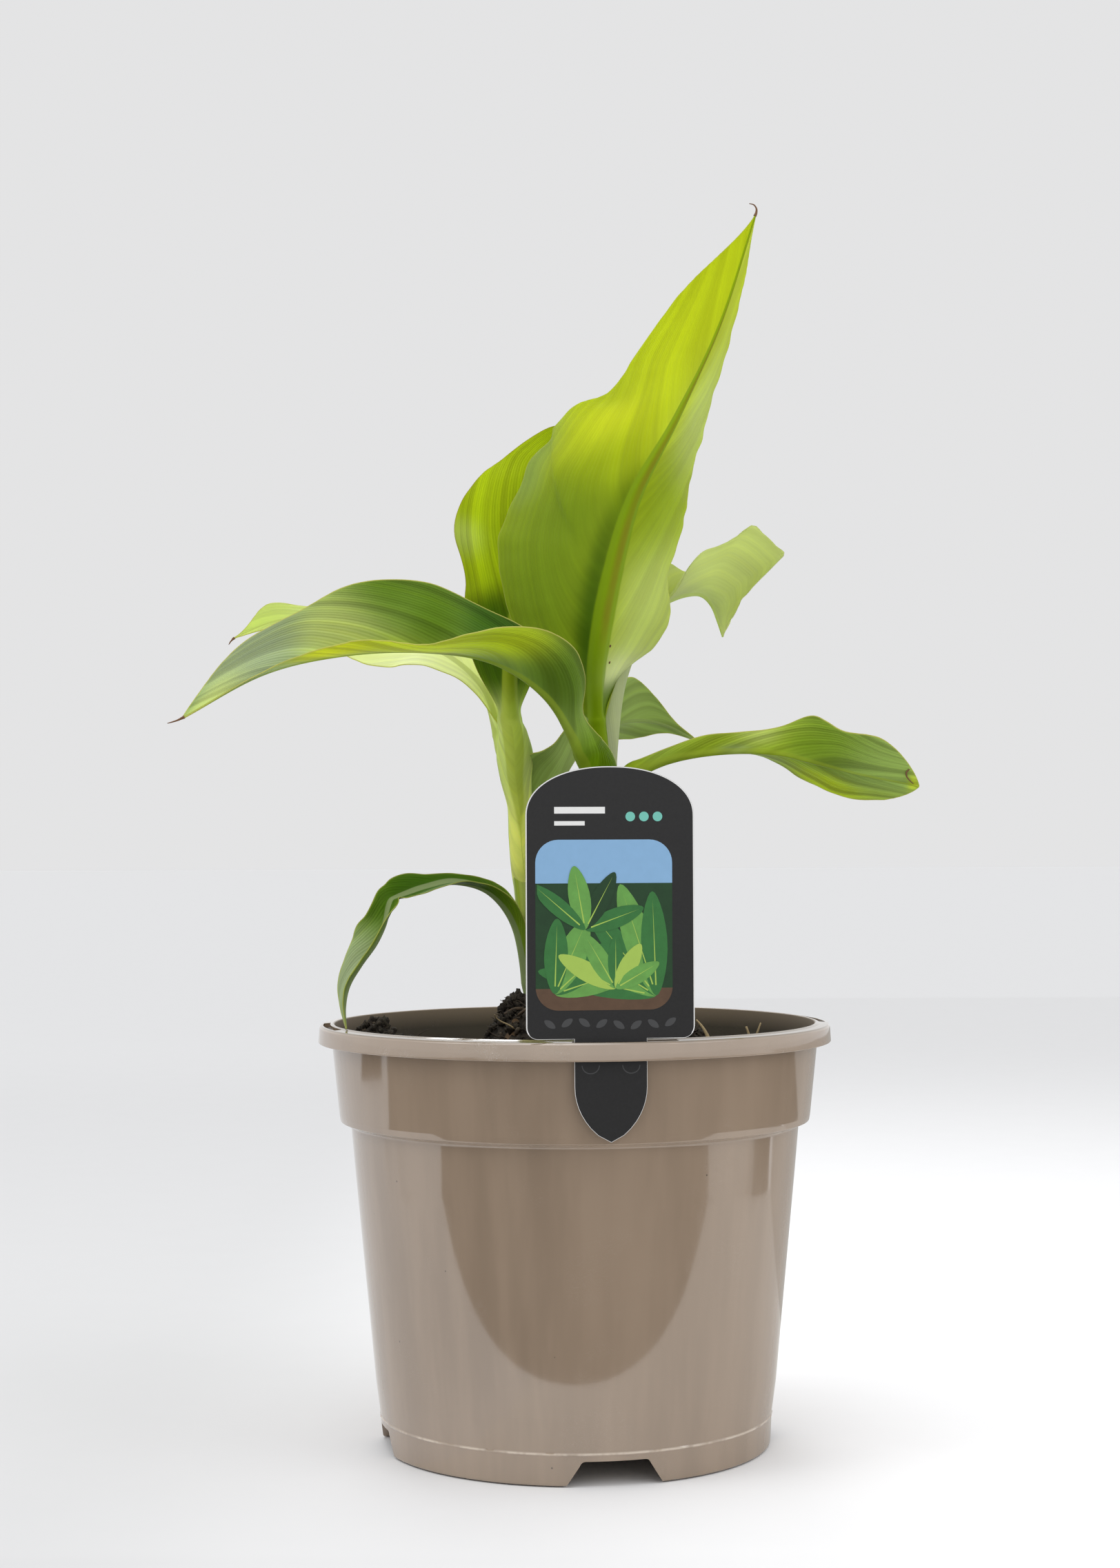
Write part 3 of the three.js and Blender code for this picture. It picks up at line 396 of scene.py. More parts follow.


# ------------------------------------------------------------------ leaves
# The same guide points and half widths as the frame's blades. Extra entries: stem and out say
# from which stem and side the leaf's sheath comes, low how far down it is seen, and up0 where its
# inner side looks at the foot.
LEAVES = {
    "tall": dict(
        rib=[[10.3, -5, 308], [11.1, -14.5, 335.4], [16.9, -19, 368.5], [27, -19.5, 403], [45, -21.5, 436.5], [63.5, -23.5, 476], [78.4, -25.4, 522]],
        w1=[31.8, 40.8, 48.8, 59.6, 57.2, 43.7, 35.1, 20.4, 3], w2=[36.6, 40.2, 39.4, 33.1, 40, 33.7, 27.1, 16.7, 5.5],
        a1=[43, 23, 32, 42, 5], a2=[75, 45, 55, 66, 60], c1=[20, 25, 10], c2=[18, 20, 5], tw=[2, -4, 12],
        up=[0, 1, 0.15], wide=0.3, point=0.16, ridge=[3.4, 1.3],
        petiole=[[11.4, -3.6, 285.4, 5, 3.2], [10.9, -4, 296, 4.4, 3.2], [10.3, -5, 308, 3.6, 3]],
        stem="main", out=[0.1, -1], low=246, wrap=1.7, up0=[0, 1, 0], ruffle=0.5, seed=1, rows=190, fine=True,
        bumps=[("1", 0.6, 0.045, 6.0), ("1", 0.5, 0.02, 2.0)], crease=(74, 17, 0.95, 2.7, 34), bowl=(1, 1.0)),
    "side_upright": dict(
        rib=[[-28, 25.4, 311.4], [-27.4, 26.6, 339.6], [-23.8, 27.4, 366], [-19.7, 27.6, 390], [-12.4, 27.8, 410.7], [-2.7, 28, 428.8], [11.2, 28, 442.3]],
        w1=[9.6, 18.7, 23.7, 26.2, 34.2, 31.4, 24.6, 19, 11.1], w2=[9.2, 17.3, 24.1, 28.5, 30.3, 28.6, 23.8, 17.2, 9.7],
        a1=[40, 24, 13, 16, 10], a2=[44, 35, 28, 21, 12], c1=[15, 20, 10], c2=[15, 20, 10], tw=[3, 4, 0],
        up=[0, 1, 0.1], wide=0.22, point=0.4, ridge=[3.4, 1.3],
        petiole=[[-25.6, 20.2, 285, 7.3, 3.6], [-25.9, 20.8, 295.5, 8.4, 3.6], [-26.9, 22.8, 305, 6.8, 3.6], [-28, 25.4, 311.4, 5.2, 3.2]],
        stem="side", out=[-0.1, -1], low=236, wrap=2.0, up0=[0.05, 1, 0], ruffle=0.7, seed=2,
        sheath=[(-25, -55), (0.93, 0.95, 0.26)]),
    "left": dict(
        rib=[[1.9, -18.8, 294], [-12.8, -31, 316.3], [-34.1, -39.2, 330.5], [-61.2, -43.8, 335], [-93.5, -49.2, 333.3], [-126.8, -54.6, 325.3], [-160, -59.6, 307]],
        w1=[16.5, 20.1, 22.7, 23.7, 30.6, 30.9, 23.4, 21.6, 15.8], w2=[18.1, 23.4, 25.9, 25.9, 22.3, 16, 6.5, 2.5, 2],
        a1=[71, 58, 60, 59, 53], a2=[112, 65, 22, 46, 22], c1=[15, 10, 0], c2=[30, 30, 4], tw=[13, -13, -4],
        up=[0.45, 0, 1], wide=0.2, point=0.35, ridge=[3.2, 1.3],
        petiole=[[7.4, -8.6, 280, 7.9, 3], [6.6, -9.8, 285, 7.9, 3.2], [4.4, -14, 289.5, 7.6, 3.2], [1.9, -18.8, 294, 6.8, 3.2]],
        stem="main", out=[-0.15, -1], low=222, wrap=2.1, up0=[0.3, 1, 0.2], ruffle=0.5, seed=3,
        bumps=[("2", 0.07, 0.045, -4.0), ("2", 0.14, 0.05, -1.5)], bowl=(-1, 0.75)),
    "back_left": dict(
        rib=[[-34.4, 44.4, 303.6], [-42.3, 51.1, 325.7], [-59.9, 62.4, 341.9], [-83.8, 72.4, 350.4], [-109.8, 80.9, 356.9], [-135.1, 85.7, 359.5], [-158.6, 84.1, 350.8]],
        bumps=[("1", 0.86, 0.05, 3.4)],
        w1=[11, 16.6, 21.2, 23.4, 22.5, 18.6, 13.1, 10.2, 2], w2=[7.4, 13.6, 20.9, 25.7, 25, 21.4, 16.2, 9.3, 2],
        a1=[41, 35, 25, 22, 70], a2=[20, -15, -34, -10, -4], c1=[-20, -25, -10], c2=[-20, -25, -10], tw=[16, -1, -13],
        up=[0.3, -0.1, 1], wide=0.25, point=0.3, ridge=[3, 1.2],
        petiole=[[-29.6, 33, 286, 3.6, 3], [-31.6, 37, 294, 3.4, 3], [-34.4, 44.4, 303.6, 3, 2.8]],
        stem="side", out=[-0.5, 0.85], low=228, wrap=1.2, up0=[0.5, -0.8, 0], ruffle=0.6, seed=4),
    "back_right": dict(
        rib=[[34, 44, 357.2], [42.5, 50.4, 363], [51.3, 57, 366.6], [58.4, 63, 367.4], [63, 66, 363.6], [65.8, 66, 357], [68.4, 64.3, 349.2]],
        w1=[13.4, 21.6, 29.5, 37.1, 40.9, 41, 28.5, 14, 2], w2=[18.9, 19.4, 18, 12.3, 12.1, 13, 12.2, 9.7, 4],
        a1=[67, 77, 75, 65, 44], a2=[58, 52, 43, 46, 42], c1=[-15, -20, -10], c2=[10, 10, 10], tw=[0, -7, -1],
        up=[0.7, -0.15, 0.8], wide=0.3, point=0.3, ridge=[1.6, 0.8],
        petiole=[[15.4, 6.4, 285.4, 5.8, 3], [16.4, 8.4, 303, 5.4, 2.8], [19.4, 16, 327, 4.0, 2.6], [25.9, 29.5, 345, 3, 2.6], [34, 44, 357.2, 2.4, 2.5]],
        stem="main", out=[0.5, 0.85], low=232, wrap=2.5, turn=158, up0=[-0.5, -0.87, 0], ruffle=0.4, seed=5,
        outlines=[("1", [(0.03, 9), (0.08, 15), (0.15, 21.5), (0.22, 25.5), (0.3, 28.3), (0.39, 30), (0.45, 31.6), (0.48, 34.5), (0.505, 41.5), (0.52, 42.2), (0.545, 41),
                         (0.6, 41), (0.63, 42.5), (0.645, 42), (0.66, 36), (0.69, 23), (0.74, 15), (0.82, 12.7), (0.89, 10.5), (0.95, 5), (1, 0.6)])]),
    "right": dict(
        rib=[[27, -14, 285.2], [46.8, -20, 290.7], [66.7, -25, 293.1], [84.9, -29.5, 292.5], [101.5, -33, 288.7], [120.6, -37.5, 283.5], [143.7, -41, 278.6]],
        w1=[8.8, 7.8, 8.8, 8.9, 11.5, 20, 18.8, 20.3, 17.1], w2=[6.7, 8.8, 11.1, 13.8, 16.6, 17.8, 17.5, 15.7, 14.9],
        a1=[36, 35, 32, -3, 15], a2=[74, 71, 42, 23, 13], c1=[20, 15, 10], c2=[20, 10, 10], tw=[2, -4, -6],
        up=[-0.1, 0.9, 0.7], wide=0.3, point=0.2, ridge=[3, 1.3],
        petiole=[[13, -7, 262, 3.6, 3], [18, -9.5, 272.5, 3.8, 3], [22, -11.6, 280, 3.6, 3], [27, -14, 285.2, 3.2, 2.8]],
        stem="main", out=[0.75, -0.65], low=205, wrap=2.0, up0=[-0.6, 0.75, 0.2], ruffle=0.3, seed=6,
        bumps=[("2", 0.13, 0.1, 3.2)], sheath=[(-8, -30), (0.42, 0.48, 0.13)]),
    "cross": dict(
        rib=[[-19.7, 36.2, 267.3], [-5.7, 38.7, 283], [4, 42.2, 297.5], [15.3, 46.5, 306.9], [28.1, 51.6, 310.4], [41.7, 54.1, 308.5], [56.4, 56.1, 301.4]],
        w1=[19.5, 25.2, 21.1, 19.4, 20.1, 22.4, 13, 5, 4], w2=[11.1, 14.1, 16, 16.7, 16.5, 14.8, 10.6, 6, 5],
        a1=[86, 58, 50, 66, 44], a2=[10, -3, -18, -36, -20], c1=[20, 20, 10], c2=[-20, -20, -10], tw=[-8, -13, -16],
        up=[0, -0.2, 1], wide=0.25, point=0.35, ridge=[3, 1.2],
        petiole=[[-20.4, 26.5, 240, 3.4, 2.8], [-20.6, 31.5, 252, 3.4, 2.8], [-19.7, 36.2, 267.3, 3, 2.7]],
        stem="side", out=[0.05, 1], low=196, wrap=1.2, up0=[0, -1, 0.2], ruffle=0.5, seed=7),
    "droop": dict(
        rib=[[-21.4, 15.2, 194.6], [-26.8, 10.3, 218.9], [-36.8, 0.3, 233.4], [-50.5, -9.1, 238.3], [-63, -17, 236.3], [-71.7, -23, 233.4], [-77.6, -26.6, 230.9]],
        w1=[9.4, 10.7, 9.8, 6, 4.8, 6.1, 9, 9.1, 7], w2=[7.9, 8.6, 8.8, 8.5, 8.5, 8.7, 8.6, 8, 7],
        a1=[62, 54, 48, 48, 52], a2=[38, 34, 22, 18, 26], c1=[20, 20, 0], c2=[20, 10, 0], tw=[-1, -1, -2],
        up=[0.5, 0, 1], wide=0.35, point=0, ridge=[2.4, 1.4],
        petiole=[[-15.4, 16.5, 178, 3.2, 2.6], [-18.6, 16.4, 186, 3.2, 2.6], [-21.4, 15.2, 194.6, 2.8, 2.4]],
        stem="side", out=[-0.5, -0.85], low=163, wrap=1.4, up0=[0.5, 0.8, 0], ruffle=0.2, seed=8,
        then=dict(
            rib=[[-77.9, -26.8, 230.2], [-78.8, -30.8, 222.2], [-82.5, -35, 213.5], [-88.5, -38.1, 204.9], [-93.4, -40.2, 196.3], [-95, -42.4, 187.5], [-94.4, -44.6, 178.8]],
            w1=[7, 9.1, 11.7, 10.8, 9.2, 8.2, 6.2, 4.7, 3.2], w2=[7, 8.4, 9.9, 9.6, 8.7, 7.7, 6.1, 4.2, 2.7],
            a1=[53, 57, 49, 38, 29], a2=[30, 24, 22, 31, 22], c1=[15, 10, 0], c2=[15, 10, 0], tw=[-9, -13, -2],
            up=[-0.7, 0, 0.5], wide=0, point=0.6, ridge=[1.5, 1])),
}
STEM_MAIN = [[14.6, 4.5, 166, 13, 12], [14.1, 4, 182, 12.2, 11.2], [12.4, 1, 225, 10.4, 9.6], [10.9, -2, 258, 9.4, 8.6], [10.6, -3, 285, 8.8, 8]]
STEM_SIDE = [[-12.6, 20, 166, 8.6, 8], [-13, 20, 182, 8, 7.4], [-18.4, 22.5, 222, 6.6, 6.2], [-22, 24.5, 250, 5.6, 5.4], [-23.3, 26, 271, 5.4, 5], [-25.6, 26, 292, 8.2, 5.4]]
STEMS = {"main": STEM_MAIN, "side": STEM_SIDE}

# Zones of colour on a leaf: along the blade (0 foot, 1 tip), across it (1 the first margin,
# -1 the other), their reach along and across, and the colour. base shows between them, stalk on
# the petiole, and over is how much darker the upper face is. Many zones are painted light and
# shade: the deep and shade greens stand for shade under folds and for shadows of other leaves, the
# gold and lime mostly for light shining through the blade, and some milky, pale and dusty patches
# for sheen; the rest are the leaf's own tones.
# leaf greens, from dark to pale, in linear values
G_DEEP_SHADE = (0.02, 0.11, 0.002)
G_SHADE = (0.09, 0.19, 0.003)
G_MOSS = (0.15, 0.28, 0.004)
G_LEAF = (0.22, 0.35, 0.02)
G_SOFT = (0.33, 0.46, 0.12)
G_FRESH = (0.37, 0.5, 0.01)
G_DUSTY = (0.4, 0.48, 0.3)
G_LIGHT = (0.54, 0.65, 0.01)
G_LIME = (0.68, 0.76, 0.02)
G_GOLD = (0.92, 0.95, 0.03)
G_PALE = (0.67, 0.76, 0.25)
G_MILKY = (0.85, 0.88, 0.6)
G_MIST = (0.66, 0.69, 0.5)

TINTS = {
    # tall: the deep and shade zones are painted shade, under the fold and where other leaves block the light; the gold
    # and lime zones are painted light shining through the blade; the milky and pale zones low on the second wing are
    # painted sheen
    "tall": dict(base=G_LIGHT, stalk=G_MOSS, over=0.7, zones=[
        (0.045, -0.5, 0.032, 0.5, G_SHADE), (0.045, -0.5, 0.032, 0.5, G_SHADE),
        (0.3, 0.12, 0.16, 0.07, G_DEEP_SHADE), (0.2, 0.16, 0.1, 0.1, G_DEEP_SHADE),
        (0.46, 0.04, 0.07, 0.06, G_SHADE), (0.6, 0.55, 0.05, 0.18, G_GOLD),
        (0.8, 0.62, 0.07, 0.25, G_LIME), (0.9, 0.5, 0.05, 0.25, G_LIME),
        (0.5, 0.95, 0.05, 0.15, G_SOFT), (0.03, -0.5, 0.045, 0.45, G_LEAF),
        (0.69, 0.31, 0.12, 0.4, G_LIME), (0.86, 0.1, 0.1, 1.2, G_LIME),
        (0.46, 0.45, 0.1, 0.3, G_LEAF), (0.28, 0.62, 0.12, 0.45, G_LEAF),
        (0.55, 0.4, 0.06, 0.2, G_LIGHT), (0.55, 0.72, 0.05, 0.2, G_LIME),
        (0.1, -0.6, 0.06, 0.4, G_MILKY), (0.28, -0.72, 0.14, 0.4, G_PALE),
        (0.49, -0.4, 0.1, 0.4, G_FRESH), (0.71, -0.55, 0.1, 0.4, G_PALE)]),
    # side_upright: the deep zones low on the blade are painted shadow, where the tall and left leaves block the light
    "side_upright": dict(base=G_FRESH, stalk=G_PALE, over=0.8, zones=[
        (0.47, 0.86, 0.035, 0.2, G_PALE), (0.6, 0.72, 0.12, 0.4, G_LIGHT),
        (0.4, 0.6, 0.09, 0.4, G_LIGHT), (0.16, 0.3, 0.11, 0.8, G_DEEP_SHADE),
        (0.8, 0.7, 0.1, 0.5, G_LIGHT), (0.28, 0.45, 0.05, 0.25, G_DEEP_SHADE)]),
    # left: the deep and shade zones are painted shade, and the dusty zone near the tip is a painted sheen
    "left": dict(base=G_SOFT, stalk=G_MOSS, over=1.0, zones=[
        (0.92, 0.15, 0.045, 0.4, G_PALE),
        (0.18, -0.5, 0.08, 0.45, G_SHADE), (0.32, -0.72, 0.07, 0.28, G_LIGHT),
        (0.35, 0.8, 0.07, 0.6, G_DEEP_SHADE), (0.69, -0.6, 0.06, 0.4, G_GOLD),
        (0.48, 0.55, 0.05, 0.45, G_SHADE), (0.6, 0.85, 0.07, 0.35, G_SHADE),
        (0.55, -0.7, 0.12, 0.5, G_LIME), (0.68, 0.45, 0.06, 0.45, G_PALE),
        (0.84, 0.5, 0.08, 0.9, G_DUSTY)]),
    "back_left": dict(base=G_MILKY, stalk=G_PALE, over=0.95, zones=[
        (0.86, 0.3, 0.16, 1.5, G_PALE), (0.28, -0.6, 0.2, 0.7, G_MILKY)]),
    "back_right": dict(base=G_MIST, stalk=G_MIST, over=0.95, zones=[
        (0.5, 0.4, 0.2, 0.7, G_MIST), (0.3, 0.2, 0.12, 0.7, G_MIST),
        (0.93, 0.0, 0.09, 1.0, G_MIST)]),
    "right": dict(base=G_SOFT, stalk=G_FRESH, over=0.9, zones=[
        (0.43, 0.8, 0.06, 0.4, G_PALE), (0.35, 0.15, 0.05, 0.25, G_DUSTY),
        (0.62, 0.35, 0.05, 0.2, G_LEAF), (0.985, 0.1, 0.014, 0.5, G_LIME),
        (0.7, 0.5, 0.12, 0.5, G_LEAF), (0.15, -0.5, 0.12, 0.4, G_DEEP_SHADE),
        (0.87, 0.1, 0.1, 0.7, G_SOFT), (0.7, -0.75, 0.14, 0.35, G_LIGHT),
        (0.35, 0.2, 0.2, 1.0, G_FRESH)]),
    "cross": dict(base=G_SOFT, stalk=G_SOFT, over=0.9, zones=[
        (0.75, 0.45, 0.2, 0.6, G_SOFT), (0.2, 0.3, 0.15, 0.8, G_SOFT)]),
    "droop": dict(base=G_LEAF, stalk=G_SOFT, over=1.0, zones=[
        (0.33, 0.2, 0.2, 1.0, G_DEEP_SHADE), (0.84, 0.5, 0.14, 0.8, G_DUSTY),
        (0.05, 0.0, 0.08, 1.5, G_LEAF)]),
}
LOOKS = {
    "tall": dict(streaks=0.42, depth=0.7, glow=0.42, rib=(0.28, 0.42, 0.006), rib_shows=0.85, line=(0.12, 0.42, 0.48, (0.34, 0.19, 0.03)), margin_shows=0.35),
    "side_upright": dict(streaks=0.85, depth=0.7, glow=0.45, rib=(0.45, 0.52, 0.03), rib_shows=0.6, margin=0.45, margin_colour=(0.42, 0.24, 0.05), margin_shows=0.5),
    "left": dict(streaks=0.7, bands=0.1, glow=0.25, rib=(0.3, 0.4, 0.03), spec=0.1, rough=0.42, margin_shows=0.85),
    "back_left": dict(streaks=0.4, depth=0.3, glow=0.5, rib=(0.55, 0.6, 0.2)),
    "back_right": dict(streaks=0.25, depth=0.25, glow=0.6, rib=(0.5, 0.6, 0.15), rib_shows=0.3, margin_shows=0.1),
    "right": dict(streaks=0.45, bands=0.2, glow=0.3, rib=(0.3, 0.38, 0.03), rib_shows=0.5, margin_shows=0.85),
    "cross": dict(streaks=0.5, depth=0.3, bands=0.15, glow=0.22, rib=(0.3, 0.38, 0.14)),
    "droop": dict(streaks=0.6, glow=0.25, rib=(0.34, 0.42, 0.2), rib_shows=0.8, margin_shows=0.5),
}
BAND = {"tall": [(0, 5.0), (0.16, 5.2), (0.27, 5.2), (0.42, 4.6), (0.54, 3.5), (0.63, 2.4), (0.75, 1.2), (0.85, 0.8), (1, 0.4)],
        "side_upright": [(0, 4.4), (0.25, 3.4), (0.5, 2.0), (0.8, 1.0), (1, 0.4)]}
BAND_ELSE = [(0, 3.4), (0.2, 2.6), (0.5, 1.6), (0.8, 0.9), (1, 0.4)]
ACROSS_BASE = np.array([0, 0.012, 0.028, 0.05, 0.08, 0.12, 0.17, 0.23, 0.29, 0.36, 0.43, 0.5, 0.57, 0.64, 0.71, 0.78, 0.84, 0.89, 0.93, 0.96, 0.985, 1.0])


def flow(keys, rows, at, last=None):
    """A smooth run through rows at uneven keys. last is the slope wanted at the end."""
    keys, v = np.asarray(keys, float), np.asarray(rows, float)
    step = (keys[1:] - keys[:-1])[:, None]
    d = (v[1:] - v[:-1]) / step
    m = np.zeros_like(v)
    m[1:-1] = (d[:-1] * step[1:] + d[1:] * step[:-1]) / (step[1:] + step[:-1])
    m[0], m[-1] = d[0], d[-1] if last is None else last
    i = np.clip(np.searchsorted(keys, at, side="right") - 1, 0, len(keys) - 2)
    h = (keys[i + 1] - keys[i])[:, None]
    f = (np.asarray(at, float) - keys[i])[:, None] / h
    return ((2 * f ** 3 - 3 * f ** 2 + 1) * v[i] + (f ** 3 - 2 * f ** 2 + f) * h * m[i]
            + (-2 * f ** 3 + 3 * f ** 2) * v[i + 1] + (f ** 3 - f ** 2) * h * m[i + 1])


def stem_at(stem, z):
    """Centre and half widths of a stem at height z."""
    rows = np.array(STEMS[stem], float)
    return np.array([np.interp(z, rows[:, 2], rows[:, k]) for k in (0, 1, 3, 4)])


def taper(t, wide, point):
    b = np.minimum(t / wide, 1) if wide else np.ones_like(t)
    e = np.minimum((1 - t) / point, 1) if point else np.ones_like(t)
    return np.sqrt(np.maximum(0, 1 - (1 - b) ** 2)) * np.maximum(0, e * (2 - e)) ** 0.75


def blade_rows(s, t):
    """Place, direction, inner side, half widths and angles of a blade at each t."""
    e = 1e-3
    p = cr(s["rib"], t)
    d = unit(cr(s["rib"], np.minimum(1, t + e)) - cr(s["rib"], np.maximum(0, t - e)))
    up = unit(np.array(s["up"], float))
    w = taper(t, s["wide"], s["point"])
    return dict(p=p, d=d, up=np.repeat(up[None], len(t), 0), tw=cr(s["tw"], t),
                w1=np.maximum(0.35, cr(s["w1"], t) * w), w2=np.maximum(0.35, cr(s["w2"], t) * w),
                a1=cr(s["a1"], t), a2=cr(s["a2"], t), c1=cr(s["c1"], t), c2=cr(s["c2"], t),
                ridge=s["ridge"][0] + (s["ridge"][1] - s["ridge"][0]) * t, t=t)


def arc(a, c, f):
    """Place on a curling half at the parts f of its width, for an angle a that curls by c, both in degrees."""
    c = np.where(np.abs(c) < 0.5, 0.5, c)[:, None] * DEG
    start = a[:, None] * DEG - c / 2
    x = (np.sin(start + c * f[None]) - np.sin(start)) / c
    z = (np.cos(start) - np.cos(start + c * f[None])) / c
    return x, z, start[:, 0]


def leaf_piece(key, nodes):
    s = LEAVES[key]
    nb = s.get("rows", 96)
    ACROSS = np.interp(np.linspace(0, 1, 2 * len(ACROSS_BASE) - 1), np.linspace(0, 1, len(ACROSS_BASE)), ACROSS_BASE) if s.get("fine") else ACROSS_BASE
    u = np.linspace(0, 1, nb)
    t = 0.6 * u + 0.4 * (0.5 - 0.5 * np.cos(math.pi * u))
    rows = blade_rows(s, t)
    for wing, at, reach, more in s.get("bumps", ()):
        rows["w" + wing] = rows["w" + wing] + more * np.exp(-((t - at) / reach) ** 2)
    for wing, outline in s.get("outlines", ()):
        rows["w" + wing] = np.interp(t, *zip(*[(0, rows["w" + wing][0]), *outline]))
    if "then" in s:
        second = blade_rows(s["then"], np.linspace(0.02, 1, 70))
        n2 = len(second["t"])
        rows["t"] = rows["t"] * 0.5
        second["t"] = 0.5 + 0.5 * second["t"]
        # the second part turns smoothly into the first over the bend
        rows = {k: np.concatenate([rows[k][:-1], second[k]]) for k in rows}
        cut = nb - 1
        for k in ("p", "tw", "w1", "w2", "a1", "a2", "c1", "c2"):
            v = rows[k]
            for _ in range(14):
                mid = (v[:-2] + 2 * v[1:-1] + v[2:]) / 4
                w = np.exp(-((np.arange(1, len(v) - 1) - cut) / 9.0) ** 2)
                v[1:-1] += (mid - v[1:-1]) * (w[:, None] if v.ndim > 1 else w)
        blend = smoothstep(cut - 16, cut + 22, np.arange(len(rows["p"])))[:, None]
        rows["up"] = unit(np.array(s["up"], float)) * (1 - blend) + unit(np.array(s["then"]["up"], float)) * blend
        rows["d"] = unit(np.gradient(rows["p"], axis=0))
    dist = np.concatenate([[0], np.cumsum(np.linalg.norm(np.diff(rows["p"], axis=0), axis=1))])

    # stalk and sheath under the blade
    out = unit(np.array([*s["out"], 0.0]))
    guide = []
    foot = s["petiole"][0]
    for z in np.linspace(s["low"], foot[2] - 14, 4):
        cx, cy, rx, ry = stem_at(s["stem"], z)
        r = 1 / math.sqrt((out[0] / rx) ** 2 + (out[1] / ry) ** 2)
        sink = 0.55 - 1.7 * (1 - smoothstep(s["low"], s["low"] + 16, z))
        guide.append([*(np.array([cx, cy, z]) + out * (r + sink)), r + 0.4, s["wrap"] * (r + 0.4)])
    for x, y, z, rx, ry in s["petiole"]:
        guide.append([x, y, z, rx, rx * s.get("turn", 112) * DEG])
    guide = np.array(guide)
    keys = np.concatenate([[0], np.cumsum(np.linalg.norm(np.diff(guide[:, :3], axis=0), axis=1))])
    length = keys[-1]
    npt = max(30, int(length / 1.6))
    at = np.linspace(0, length, npt, endpoint=False)
    stalk_p = flow(keys, guide[:, :3], at, last=rows["d"][0])
    stalk_l = flow(keys, guide[:, 4:5], at)[:, 0]
    sheath = 1 - smoothstep(keys[3] - 6, keys[4] + 10, at)

    p = np.vstack([stalk_p, rows["p"]])
    d = unit(np.gradient(p, axis=0))
    d[npt + 1:] = rows["d"][1:]
    D = np.concatenate([at - length, dist])
    n = len(p)
    up0 = unit(np.array(s["up0"], float))
    mixed = smoothstep(-length * 0.62, 2, D[:npt])[:, None]
    ups = np.vstack([up0 * (1 - mixed) + rows["up"][0] * mixed, rows["up"]])
    nn = unit(ups - d * np.sum(ups * d, 1, keepdims=True))
    ss = np.cross(d, nn)
    tw = np.concatenate([mixed[:, 0] * rows["tw"][0], rows["tw"]]) * DEG
    n_ = nn * np.cos(tw)[:, None] + ss * np.sin(tw)[:, None]
    s_ = ss * np.cos(tw)[:, None] - nn * np.sin(tw)[:, None]

    fade = stalk_l[-1] * np.exp(-np.maximum(dist, 0) / 11.0)
    grids, scale_along = [], []
    wings = []
    for k in ("1", "2"):
        w = rows["w" + k]
        half = np.concatenate([stalk_l, np.sqrt(w ** 2 + fade ** 2)])
        q = np.concatenate([np.ones(npt), fade ** 2 / (fade ** 2 + w ** 2)])
        shut = float(s.get("turn", 112))
        turn = np.concatenate([s["wrap"] / DEG * sheath + shut * (1 - sheath), np.full(len(rows["t"]), shut)])
        a_b = np.concatenate([np.zeros(npt), rows["a" + k]])
        c_b = np.concatenate([np.zeros(npt), rows["c" + k]])
        a = q * (turn / 2 + 4) + (1 - q) * a_b
        c = q * turn + (1 - q) * c_b
        x, z, start = arc(a, c, ACROSS)
        wings.append(dict(x=x * half[:, None], z=z * half[:, None], half=half, start=start))
    # the fold is rounded, and its hollow filled a little
    ridge = np.concatenate([np.full(npt, 1.9), rows["ridge"] * 0.85])
    rad = np.concatenate([np.full(npt, 0.6), np.interp(rows["t"], [0, 0.1, 1], [1.0, 1.8, 0.5])])
    corner_x = np.cos(wings[0]["start"]) - np.cos(wings[1]["start"])
    corner_z = np.sin(wings[0]["start"]) + np.sin(wings[1]["start"])
    cols = []
    for sign, w in ((-1, wings[1]), (1, wings[0])):
        dist_rib = w["half"][:, None] * ACROSS[None]
        soft = (np.sqrt(dist_rib ** 2 + rad[:, None] ** 2) - dist_rib) / 2
        X = sign * w["x"] + corner_x[:, None] * soft
        Z = w["z"] + corner_z[:, None] * soft
        P = p[:, None] + s_[:, None] * X[..., None] + n_[:, None] * Z[..., None]
        cols.append((P, dist_rib, w["half"][:, None] - dist_rib, sign * np.repeat(ACROSS[None], n, 0)))
    (P2, r2, e2, v2), (P1, r1, e1, v1) = cols
    P = np.concatenate([P2[:, ::-1], P1[:, 1:]], 1)
    rib = np.concatenate([r2[:, ::-1], r1[:, 1:]], 1)
    edge = np.concatenate([e2[:, ::-1], e1[:, 1:]], 1)
    acr = np.concatenate([v2[:, ::-1], v1[:, 1:]], 1)
    m = P.shape[1]
    Dg = np.repeat(D[:, None], m, 1)
    tall = np.concatenate([np.full(npt, -0.02), rows["t"]])
    tall = np.repeat(tall[:, None], m, 1)
    half_band = np.interp(tall, *zip(*BAND.get(key, BAND_ELSE)))
    steep = 1.5 + 1.3 * np.abs(acr)
    if "bowl" in s:
        # low down, the veins leave the midrib nearly square and then turn up towards the margin
        side, amount = s["bowl"]
        k = amount * (1 - smoothstep(0.3, 0.72, tall)) * (acr * side > 0)
        steep = steep * (1 - k) + (0.3 + 2.4 * acr ** 2) * k
    steep = steep + 5.0 * smoothstep(0.72, 1.0, tall)
    vein = (Dg - rib * steep) * 0.42 + np.where(acr < 0, 57.0, 0.0)
    onblade = smoothstep(2, 26, Dg)

    def normals(P):
        a = np.gradient(P, axis=0)
        b = np.gradient(P, axis=1)
        return unit(np.cross(b, a))

